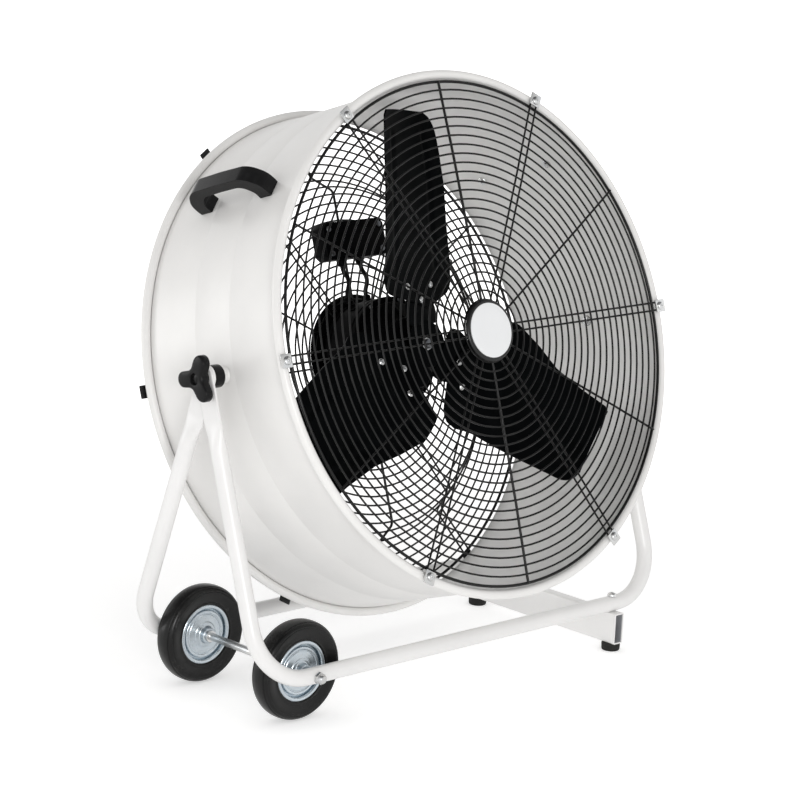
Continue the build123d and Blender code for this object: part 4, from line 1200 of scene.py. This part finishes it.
# ------------------------------------------------------------------ control box
@dataclass(frozen=True)
class ControlBox:
    """Wiring box on the rear guard, its leads to the motor and its speed selector.

    Attributes:
        up: Height of the box's middle over the drum's axis.
        back: Its rear face, against the rear guard.
        screw_inset: From the lid's edges to its screws.
        lead_places: Place across of each lead.
        lead_bow: Shares of a lead's drop, and the share of its bow there.
        lead_length: Real length of a lead, in metres; not used.
        bow: How far the leads bow to the front.
        gland: Length of a gland.
        lead_end: Height at which the leads enter the motor's glands.
        dial_seat: Face of the rear guard under the dial.
        dial_gap: Which gap between rings the dial's shaft goes through.
        dial_turn: Turn of the dial's place about the drum's axis.
    """

    width: float = 124.0
    height: float = 58.0
    depth: float = 31.0
    lid: float = 3.0
    up: float = 182.0
    back: float = 122.6
    chamfer: float = 8.0
    screw_inset: float = 10.0
    lead_radius: float = 3.5
    lead_places: tuple[float, ...] = (-24.0, 14.0)
    lead_bow: tuple[tuple[float, float], ...] = (
        (0, 0), (0.15, 0), (0.35, 0.8), (0.5, 1), (0.65, 0.8), (0.85, 0), (1, 0))
    lead_length: float = 0.054
    bow: float = 9.0
    gland: float = 10.0
    lead_end: float = 94.0
    dial_seat: float = 128.75
    dial_gap: float = 6.5
    dial_turn: float = -75.0

    def _outline(self, inset: float = 0.0) -> list[Corner]:
        """The box's face with cut corners."""
        w, h, c = self.width / 2 - inset, self.height / 2 - inset, self.chamfer
        return [(-w + c, -h, 1), (w - c, -h, 1), (w, -h + c, 1), (w, h - c, 1),
                (w - c, h, 1), (-w + c, h, 1), (-w, h - c, 1), (-w, -h + c, 1)]

    def build(self) -> None:
        """Make the box, lid, screws, glands, leads and selector."""
        body, front = self.depth - self.lid, self.back - self.depth
        Workpiece.pressed(self._outline(), body, 1.2).show(
            "wiring_box", BOX_PLASTIC, "control_box",
            place=TILTED @ move(0, self.back - body / 2, self.up))
        lid = Workpiece.pressed(self._outline(), self.lid - 0.9, 0.6)
        lid.add(Workpiece.pressed(self._outline(4.5), self.lid - 0.1, 0.8))
        lid.show("wiring_box_lid", BOX_PLASTIC, "control_box_lid",
                 place=TILTED @ move(0, front + self.lid / 2, self.up))
        across, high = self.width / 2 - self.screw_inset, self.height / 2 - self.screw_inset
        screws = Workpiece().add(Screw(4.5, 2.0).shape(), *[
            move(x * across, front - SEAT, self.up + z * high) @ turn(90, "X")
            for x in (-1, 1) for z in (-1, 1)])
        screws.show("lid_screws", DULL_ZINC, "control_box_screws", place=TILTED)
        self._glands(self.up - self.height / 2, self.back - self.depth / 2)
        self._selector()

    def _glands(self, floor: float, depth: float) -> None:
        """Two glands above, two below, and the leads between them.

        Args:
            floor: The box's underside.
            depth: Place of the leads from front to rear.
        """
        gland = Workpiece.turned([(3.5, 0), (7.5, 0, 0.4), (7.5, -3.6, 0.4), (6.6, -3.8),
                                  (6.6, -8, 1), (5.2, -10, 0.8), (3.5, -10)], 32)
        gland.add(Workpiece.rod(7.5, -3.4, -0.2, 6, 0.4))
        low = self.lead_end - self.gland + 0.6
        for name, node, height, flip in (
                ("box_cable_glands", "control_box_glands", floor - SEAT, ONE),
                ("motor_cable_glands", "motor_glands", low, turn(180, "X"))):
            Workpiece().add(gland, *[move(x, depth, height) @ flip for x in self.lead_places]
                            ).show(name, BOX_PLASTIC, node, place=TILTED)
        high, drop = floor - self.gland, self.lead_end - (floor - self.gland)
        for number, x in enumerate(self.lead_places, 1):
            self._lead(number, [TILTED @ Vector((x, depth - self.bow * bow, high + drop * share))
                                for share, bow in self.lead_bow])

    def _lead(self, number: int, route: Sequence[Vector]) -> None:
        """One stiff lead along its route.

        Args:
            number: The lead's number.
            route: Points of its smooth line, in millimetres.
        """
        points = [point * MM for point in route]
        curve = bpy.data.curves.new(f"motor_lead_{number}", "CURVE")
        curve.dimensions = "3D"
        spline = curve.splines.new("NURBS")
        spline.points.add(len(points) - 1)
        for point, target in zip(spline.points, points):
            point.co = (*target, 1.0)
        spline.order_u = 3
        spline.use_endpoint_u = True
        curve.resolution_u = 12
        curve.bevel_depth = self.lead_radius * MM
        curve.bevel_resolution = 5
        curve.use_fill_caps = True
        curve.materials.append(LEAD_SHEATH.make())
        lead = linked(f"motor_lead_{number}", curve)
        hand_over(lead, Body.DRUM, "motor_leads")

    def _selector(self) -> None:
        """The rear speed selector on its shaft."""
        reach = (REAR_RING + RING_PITCH * self.dial_gap) * math.cos(math.pi / 12)
        seat = self.dial_seat
        top = seat + 14
        dial = Workpiece.turned([(0, seat), (17, seat, 0.6), (17, seat + 5, 1.2),
                                 (14.5, seat + 7, 1), (13.2, top, 1.2), (0, top)], 72)
        ridge = Workpiece.pressed([(-2.6, -14.5, 2), (2.6, -14.5, 2), (3.6, 14.5, 2),
                                   (-3.6, 14.5, 2)], 12.0, 0.8)
        dial.add(ridge, move(z=top) @ turn(90, "X"))
        dial.add(Workpiece.rod(4.0, self.back + 0.3, seat, 20))
        dial.show("speed_dial", BOX_PLASTIC, "speed_knob", Body.SELECTOR,
                  DRUM @ (turn(self.dial_turn, "Z") @ move(reach)))


# ------------------------------------------------------------------ handles and pivots
@dataclass(frozen=True)
class Handle:
    """Carrying handle on two feet, drawn with its rise along +Z and its length along X."""

    side: int
    middle: float = 10.0
    length: float = 164.0
    width: float = 26.0
    rise: float = 48.0
    grip: float = 16.0
    foot: float = 26.0
    seat: float = 381.55
    angle: float = 41.25
    bolt_reach: float = 73.0

    def build(self) -> None:
        """Mould the handle."""
        half, top, under = self.length / 2, self.rise, self.rise - self.grip
        foot = half - self.foot
        right = [(foot, 0, 0.6), (half - 1.5, 0, 0.6), (half, 7, 3), (half - 1.0, 24, 8),
                 (half - 21, top - 1.4, 14), (0, top)]
        left = [(-x, z, *r) for x, z, *r in reversed(right[:-1])]
        under_side = [(-foot - 1, 14, 5), (-foot + 12, under - 1, 10), (0, under),
                      (foot - 12, under - 1, 10), (foot + 1, 14, 5)]
        bar = Workpiece.pressed(right + left + under_side, self.width, 4.6, 1, 7)
        place = TILTED @ turn(-self.angle if self.side > 0 else self.angle + 180, "Y")
        stand = move(self.seat, self.middle, 0) @ Matrix((
            (0, 0, 1, 0), (1, 0, 0, 0), (0, 1, 0, 0), (0, 0, 0, 1)))
        name = "right" if self.side > 0 else "left"
        bar.show(f"{name}_carry_handle", GRIP_PLASTIC, f"{name}_handle", place=place @ stand,
                 sharp=30)


@dataclass(frozen=True)
class Pivots:
    """Studs, spacers, handle bolts and the two clamp knobs.

    Attributes:
        wall: Inside of the drum's wall.
        lobe: Radius of a knob's lobe, on a circle of lobe_circle.
        waist: Radius between two lobes.
        lobe_half: Half the angle that a lobe takes, in degrees.
    """

    wall: float = 379.5
    spacer_start: float = 382.25
    boss_end: float = 393.5
    spacer_end: float = 411.67
    knob_start: float = 420.33
    stud: float = 6.0
    bore: float = 6.1
    lobe_angle: float = 72.0
    lobe_circle: float = 25.4
    lobe: float = 11.8
    waist: float = 16.9
    lobe_half: float = 24.0

    def _lobes(self, inset: float) -> Callable[[float], float]:
        """The knob's outline drawn in by an inset.

        Args:
            inset: How far the outline is drawn in.

        Returns:
            The radius at any angle.
        """
        middle, lobe, waist, third = self.lobe_circle, self.lobe, self.waist, TAU / 3
        join = math.radians(self.lobe_half)
        span = third / 2 - join
        flat = middle * math.cos(join)
        side = math.sqrt(lobe ** 2 - (middle * math.sin(join)) ** 2)
        steep = -middle * math.sin(join) * (1 + flat / side) * span

        def radius(angle: float) -> float:
            """A lobe's arc, and a smooth waist between two lobes.

            Args:
                angle: The angle, in radians.

            Returns:
                The radius there.
            """
            off = abs((angle + third / 2) % third - third / 2)
            if off < join:
                rise = math.sqrt(lobe ** 2 - (middle * math.sin(off)) ** 2)
                return middle * math.cos(off) + rise - inset
            t = (off - join) / span
            return ((flat + side) * (2 * t ** 3 - 3 * t ** 2 + 1)
                    + steep * (t ** 3 - 2 * t ** 2 + t)
                    + waist * (3 * t ** 2 - 2 * t ** 3)) - inset
        return radius

    def _knob(self) -> Workpiece:
        """Three-lobed knob along +Z, with its boss at the origin.

        Returns:
            The knob.
        """
        boss = [(12.2, 0.0), (12.9, 0.7), (13.3, 4.6), (14.2, 5.4)]
        lobed = [(1.4, 5.6), (0.4, 6.0), (0.0, 6.9), (0.0, 15.0), (0.4, 16.4), (1.2, 17.6),
                 (2.4, 18.4), (3.8, 18.7)]
        well = [(10.8, 18.99), (9.2, 18.7), (8.4, 17.8), (8.2, 13.6)]
        rings = boss + [(self._lobes(inset), height) for inset, height in lobed] + well
        knob = Workpiece.stacked(rings, 144)
        knob.add(Workpiece.rod(7.4, 13.0, 15.2, 6, 0.5))
        return knob

    def build(self) -> None:
        """Make both sides."""
        out, bore, start, end = turn(90, "Y"), self.bore, self.spacer_start, self.boss_end
        spacer = Workpiece.turned([(bore, end, 0.3), (16.9, end, 1.2),
                                   (16.9, self.spacer_end, 1.2), (bore, self.spacer_end, 0.3)], 64)
        boss = Workpiece.turned([(bore, start), (13.0, start), (11.4, start + 2),
                                 (11.0, end - 0.02, 0.6), (bore, end - 0.02)], 64)
        stud = Workpiece().add(Screw(8.5, 5.0, Head.HEX).shape(),
                               move(z=self.wall) @ turn(180, "X"))
        stud.add(Workpiece.rod(self.stud, self.wall, self.knob_start + 11, 32))
        sides = (("right", ONE, Body.RIGHT_KNOB),
                 ("left", Matrix.Scale(-1, 4, (1, 0, 0)), Body.LEFT_KNOB))
        for name, flip, body in sides:
            Workpiece().add(spacer).show(f"{name}_bush", GRIP_PLASTIC, f"{name}_pivot_spacer",
                                         place=TILTED @ flip @ out)
            Workpiece().add(boss).show(f"{name}_painted_boss", DRUM_PAINT,
                                       place=TILTED @ flip @ out)
            place = BASE @ flip @ move(self.knob_start, 0, STANCE.pivot_height) @ out
            self._knob().show(f"{name}_lobed_knob", GRIP_PLASTIC, f"{name}_clamp_knob", body,
                              place @ turn(270 - self.lobe_angle, "Z"))
        studs = Workpiece().add(stud, *[flip @ out for _, flip, _ in sides])
        studs.show("knob_studs", ZINC, "pivot_studs", place=TILTED)
        bolts = Workpiece().add(Screw(8.0, 4.5, Head.PAN, 4.0, 10.0).shape(), *[
            turn(-angle, "Y") @ move(self.wall - SEAT, Handle.middle + reach, 0) @ turn(-90, "Y")
            for angle in (Handle.angle, 180 - Handle.angle)
            for reach in (-Handle.bolt_reach, Handle.bolt_reach)])
        bolts.show("handle_screws", ZINC, "handle_bolts", place=TILTED)


# ------------------------------------------------------------------ base
@dataclass(frozen=True)
class BaseFrame:
    """Two bent tubes, the crossbar under them, its bolts and feet.

    Attributes:
        tube: Radius of the bent tubes.
        leg: Distance of the legs from the middle.
        run_y: Distance of the tubes' runs from the pivots, front and rear.
        eye: Length of a flat end below its pivot.
        flatten: Length over which round tube becomes flat.
    """

    tube: float = 12.5
    leg: float = 416.0
    run_y: float = 145.7
    run_z: float = 75.0
    bend: float = 85.0
    eye: float = 62.0
    flatten: float = 48.0
    eye_half: float = 18.0
    eye_thick: float = 4.0
    bar_x: float = 318.0
    bar_low: float = 12.55
    bar_high: float = 62.45
    bar_half: float = 165.0
    bar_across: float = 10.0
    bar_wall: float = 2.0
    foot_y: float = 150.0

    def _slope(self) -> tuple[float, float]:
        """The drop from the pivots to the runs, and the length of a leg down to its run."""
        drop = STANCE.pivot_height - self.run_z
        return drop, math.hypot(self.run_y, drop)

    def _tube(self, shift: float) -> Workpiece:
        """Bend one U with its legs along +Z, and press its ends flat.

        Args:
            shift: How far outwards the flat ends are set.

        Returns:
            The tube.
        """
        _, length = self._slope()
        tip = [-self.eye_half * math.sin(math.radians(angle)) for angle in range(80, -1, -10)]
        taper = [self.eye + self.flatten * share / 10 for share in range(11)]
        stops = tip + [20.0, 40.0] + taper
        path: list[Corner] = [(self.leg, z) for z in stops]
        path += [(self.leg, length, self.bend), (-self.leg, length, self.bend)]
        path += [(-self.leg, z) for z in reversed(stops)]
        half, round_start = self.eye_thick / 2, self.eye + self.flatten

        def press(point: Vector) -> Vector:
            """Flatten a point of the tube near its end.

            Args:
                point: A point of the round tube.

            Returns:
                Its place after the press.
            """
            if point.z > round_start:
                return point
            side = math.copysign(1, point.x)
            dx, dy = point.x - side * self.leg, point.y
            share = min(1.0, (round_start - point.z) / self.flatten)
            share = share * share * (3 - 2 * share)
            flat_x = max(-half, min(half, dx * 0.62)) + side * shift
            narrow = math.sqrt(max(0.0, 1 - (min(point.z, 0.0) / self.eye_half) ** 2))
            flat_y = dy / self.tube * self.eye_half * narrow
            return Vector((side * self.leg + dx + (flat_x - dx) * share,
                           dy + (flat_y - dy) * share, point.z))

        return Workpiece.bent(path, self.tube, 32, 6).shaped(press)

    def build(self) -> None:
        """Make the base."""
        drop, length = self._slope()
        for name, side in (("front", -1), ("rear", 1)):
            down = Vector((0, side * self.run_y / length, -drop / length))
            across = down.cross(Vector((1, 0, 0)))
            lean = Matrix(((1, across.x, down.x, 0), (0, across.y, down.y, 0),
                           (0, across.z, down.z, STANCE.pivot_height), (0, 0, 0, 1)))
            self._tube(-side * (self.eye_thick + SEAT) / 2).show(
                f"{name}_bent_tube", FRAME_PAINT, f"{name}_frame_tube", Body.BASE, BASE @ lean,
                30)
        self._crossbar()

    def _box_tube(self, inset: float, corner: float, wall: float, half: float) -> Workpiece:
        """A rectangular tube along Y, open at both ends.

        Args:
            inset: How far its outside lies inside the crossbar's.
            corner: Rounding of its corners.
            wall: Its wall.
            half: Half its length.

        Returns:
            The tube.
        """
        across, low, high = self.bar_across - inset, self.bar_low + inset, self.bar_high - inset
        bar = Workpiece()
        face = bar.drawn([(-across, low, corner), (across, low, corner),
                          (across, high, corner), (-across, high, corner)])
        bmesh.ops.inset_region(bar.mesh, faces=[face], thickness=wall,
                               use_even_offset=True, use_boundary=True)
        bmesh.ops.delete(bar.mesh, geom=[largest(bar.mesh)], context="FACES_ONLY")
        bmesh.ops.translate(bar.mesh, verts=bar.mesh.verts, vec=(0, -half, 0))
        grown = bmesh.ops.extrude_face_region(bar.mesh, geom=bar.mesh.faces[:])["geom"]
        bmesh.ops.translate(bar.mesh, vec=(0, 2 * half, 0), verts=verts_in(grown))
        return bar

    def _crossbar(self) -> None:
        """The rectangular tube with a grey liner that paints the shade inside it, its bolts and the
        rubber feet.
        """
        place = BASE @ move(self.bar_x)
        self._box_tube(0.0, 2.2, self.bar_wall, self.bar_half).show(
            "rectangular_crossbar", FRAME_PAINT, "support_crossbar", Body.BASE, place)
        # Painted shade: a grey liner just inside the crossbar's wall darkens the tube's inside,
        # where the shade falls.
        self._box_tube(self.bar_wall + 0.02, 0.6, 0.2, self.bar_half - 1.5).show(
            "crossbar_shade_liner", TUBE_SHADE_LINER, body=Body.BASE, place=place)
        top = self.run_z + self.tube + SEAT
        Workpiece().add(Screw(7.5, 5.5, Head.PAN, 4.0, 30.0).shape(), *[
            move(self.bar_x, side * self.run_y, top) for side in (-1, 1)]).show(
                "crossbar_screws", ZINC, "crossbar_bolts", Body.BASE, BASE)
        foot = [(0, 0.0), (13.6, 0, 1), (14.6, 2, 1), (15, 11, 1), (14.4, 12.5, 0.5), (0, 12.5)]
        for name, side in (("front", -1), ("rear", 1)):
            Workpiece.turned(foot, 56).show(f"{name}_rubber_foot", FOOT_RUBBER, f"{name}_foot",
                                            Body.BASE, BASE @ move(self.bar_x, side * self.foot_y))


# ------------------------------------------------------------------ wheels
@dataclass(frozen=True)
class Wheels:
    """Two solid wheels on a plain axle, drawn about Z and laid along Y."""

    axle_x: float = -318.0
    height: float = 75.0
    place_y: float = 108.0
    radius: float = 74.9
    axle: float = 6.0
    bore: float = 6.1
    hub_half: float = 22.0
    axle_out: float = 10.0
    collar: float = 4.0
    collar_gap: float = 0.3

    def _tyre(self) -> Workpiece:
        """Solid tyre with moulded lines on its shoulders."""
        r = self.radius
        return Workpiece.turned(mirrored([
            (46.1, 13.4), (48.2, 14.4, 0.6), (49.4, 13.6, 0.5), (52, 14.0, 0.8), (60, 16.2, 2),
            (65.6, 17.0, 0.6), (66.2, 16.2, 0.3), (67.2, 16.2, 0.3), (67.8, 16.7, 0.6),
            (r - 3.4, 14.4, 1.6), (r - 2.6, 12.6, 0.4), (r - 3.4, 12.0, 0.3),
            (r - 3.3, 11.0, 0.3), (r - 1.6, 10.6, 0.8), (r, 6.0, 4)]), 112, 3)

    def _rim(self) -> Workpiece:
        """Pressed disc with steps, a groove behind its lip and a tube hub."""
        return Workpiece.turned(mirrored([
            (self.bore, self.hub_half), (10.4, self.hub_half, 0.7), (12, 20.6, 0.7),
            (12, 15.0, 1.4), (14.0, 13.0, 1.2), (18.4, 12.6, 1.0), (19.6, 11.2, 0.8),
            (29.4, 10.6, 0.6), (30.4, 9.6, 0.4), (31.4, 9.6, 0.4), (32.4, 11.0, 0.7),
            (35.6, 11.0, 0.9), (36.6, 9.4, 0.8), (37.0, 5.4, 0.6), (39.0, 5.4, 0.6),
            (39.6, 11.4, 0.8), (41.0, 13.9, 1.2), (44.4, 13.9, 1.0), (45.9, 12.6, 0.6)]), 112, 3)

    def build(self) -> None:
        """Make the axle, nuts, collars, rims and tyres."""
        lay = BASE @ move(self.axle_x, 0, self.height) @ turn(-90, "X")
        outside = BaseFrame.run_y + BaseFrame.tube
        end = outside + self.axle_out
        Workpiece.rod(self.axle, -end, end, 40, 0.6).show(
            "plain_axle", AXLE_ZINC, "wheel_axle", Body.BASE, lay)
        nut = Workpiece().add(Screw(9.5, 12.0, Head.ACORN).shape(), move(z=outside + SEAT))
        hub, low = self.place_y - self.hub_half - self.collar_gap, self.bore
        foot = hub - self.collar
        collar = Workpiece.turned([(low, foot), (9, foot, 0.6), (9, hub, 0.6), (low, hub)], 40)
        for name, shape, node in (("acorn_nuts", nut, "axle_end_nuts"),
                                  ("push_on_collars", collar, "axle_collars")):
            Workpiece().add(shape, ONE, turn(180, "X")).show(name, ZINC, node, Body.BASE, lay)
        for name, side, body in (("front", -1, Body.FRONT_WHEEL), ("rear", 1, Body.REAR_WHEEL)):
            spot = lay @ move(z=side * self.place_y)
            middle = (self.axle_x * MM, (side * self.place_y + STANCE.shift) * MM,
                      self.height * MM)
            spun = Finish(f"{name}_spun_zinc", "zinc", (0.60, 0.66, 0.70), 0.26, Grain.SPUN,
                          0.000008, 900, metallic=1.0, drift=0.08, middle=middle, axis_turn=-90)
            self._tyre().show(f"{name}_solid_tyre", TYRE_RUBBER, f"{name}_tyre", body, spot)
            self._rim().show(f"{name}_stepped_rim", spun, f"{name}_rim", body, spot)


# ------------------------------------------------------------------ studio
@dataclass(frozen=True)
class Studio:
    """Pale floor, soft lights and the photograph's camera."""

    focal_pixels: float = 3064.6
    width: float = 800.0
    yaw: float = 44.11
    pitch: float = 12.84
    roll: float = 2.84
    eye: Three = (-3.1841, -3.26584, 1.4581)
    sensor: float = 36.0

    def camera(self) -> None:
        """Set the camera where the photograph was taken from."""
        yaw, pitch, roll = (math.radians(v) for v in (self.yaw, self.pitch, self.roll))
        ahead = Vector((math.sin(yaw) * math.cos(pitch), math.cos(yaw) * math.cos(pitch),
                        -math.sin(pitch)))
        level = Vector((math.cos(yaw), -math.sin(yaw), 0))
        above = level.cross(ahead)
        right = level * math.cos(roll) + above * math.sin(roll)
        up = above * math.cos(roll) - level * math.sin(roll)
        data = bpy.data.cameras.new("photo_camera")
        data.sensor_width = self.sensor
        data.lens = self.focal_pixels / self.width * self.sensor
        data.clip_end = 60.0
        camera = linked("photo_camera", data)
        camera.matrix_world = Matrix.Translation(self.eye) @ Matrix(
            (right, up, -ahead)).transposed().to_4x4()
        bpy.context.scene.camera = camera

    def lamp(self, name: str, spot: Three, size: float, power: float, aim: Three) -> None:
        """Add one large soft lamp.

        Args:
            name: Its name.
            spot: Where it stands, in metres.
            size: Its width, in metres.
            power: Its power, in watts.
            aim: What it points at.
        """
        data = bpy.data.lights.new(name, "AREA")
        data.shape, data.size, data.energy = "DISK", size, power
        facing = (Vector(aim) - Vector(spot)).to_track_quat("-Z", "Y")
        linked(name, data).matrix_world = (Matrix.Translation(spot)
                                           @ facing.to_matrix().to_4x4())

    def build(self) -> None:
        """Set the floor, world, lamps and camera."""
        scene = bpy.context.scene
        scene.view_settings.view_transform = "Standard"
        world = bpy.data.worlds.new("pale_studio")
        scene.world = world
        graph = Graph(world)
        seen = graph.node("LightPath", output="Is Camera Ray")
        gloss = graph.node("LightPath", output="Is Glossy Ray")
        through = graph.node("LightPath", output="Is Transmission Ray")
        ray = seen.at_least(gloss).at_least(through)
        where = graph.node("TexCoord", output="Generated")
        high = graph.part(where, 2)
        tone = graph.blend(high.above(-0.3, 0.9), (0.64, 0.635, 0.63), (0.72, 0.715, 0.71))
        backdrop = graph.blend(high.above(0.25, 0.85), (1.0, 1.0, 1.0), (0.16, 0.16, 0.165))
        tone = graph.blend(ray, tone, backdrop)
        back = graph.node("Background", {"Color": tone, "Strength": 1.0})
        graph.finish(back, "OutputWorld")
        self._floor()
        middle = (0.0, 0.0, 0.45)
        self.lamp("key_lamp", (-4.2, -2.0, 0.9), 1.2, 6.0, middle)
        self.lamp("front_lamp", (-2.7, -4.1, 1.2), 1.4, 62.0, middle)
        self.lamp("rear_lamp", (-2.9, 3.0, 0.9), 1.8, 20.0, middle)
        self.camera()

    def _floor(self) -> None:
        """A wide pale floor that keeps the fan's shadow."""
        ground = Workpiece()
        bmesh.ops.create_grid(ground.mesh, x_segments=2, y_segments=2, size=40000.0)
        mesh = bpy.data.meshes.new("pale_floor")
        bmesh.ops.scale(ground.mesh, vec=(MM, MM, MM), verts=ground.mesh.verts)
        ground.mesh.to_mesh(mesh)
        ground.mesh.free()
        material = bpy.data.materials.new("floor_card")
        graph = Graph(material)
        seen = graph.node("LightPath", output="Is Camera Ray")
        out = graph.node("VectorMath", {0: graph.place()}, "Value", operation="LENGTH")
        far = out.above(0.7, 1.9)
        matte = graph.node("BsdfDiffuse", {"Color": (0.80, 0.80, 0.80)})
        strength = seen * (0.46 + far * 0.54) + (1 - seen) * 0.32
        glow = graph.node("Emission", {"Color": (1, 1, 1), "Strength": strength})
        graph.finish(graph.node("AddShader", {0: matte, 1: glow}))
        mesh.materials.append(material)
        linked("pale_floor", mesh)


def main() -> None:
    """Load the frame, build every sub-assembly over it and set the studio."""
    logging.basicConfig(level=logging.INFO, format="%(name)s: %(message)s")
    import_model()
    front, rear = DrumShell.front - DrumShell.bead, DrumShell.rear + DrumShell.bead
    lift, ends = WireGuard.wire + SEAT, (SPOKE_END, WireGuard.outer)
    domed = tuple((x, front - lift) for x in ends) + ((260.0, -151.77), (44.0, -155.44))
    dished = tuple((x, rear + lift) for x in (*ends, 293.0)) + ((262.0, 124.15), (50.0, 124.15))
    assemblies = [
        ControlBox(),
        DrumShell(),
        WireGuard("front", domed, FRONT_RING, -1),
        WireGuard("rear", dished, REAR_RING, 1),
        RimFasteners("front", front, -1, ZINC, ZINC),
        RimFasteners("rear", rear, 1, DARK_CLIP, BLACK_SCREW),
        Badge(),
        Motor(),
        Rotor(),
        Handle(1),
        Handle(-1),
        Pivots(),
        BaseFrame(),
        Wheels(),
        Studio(),
    ]
    for assembly in assemblies:
        assembly.build()
        LOG.info("%s done", type(assembly).__name__)


if __name__ == "__main__":
    main()
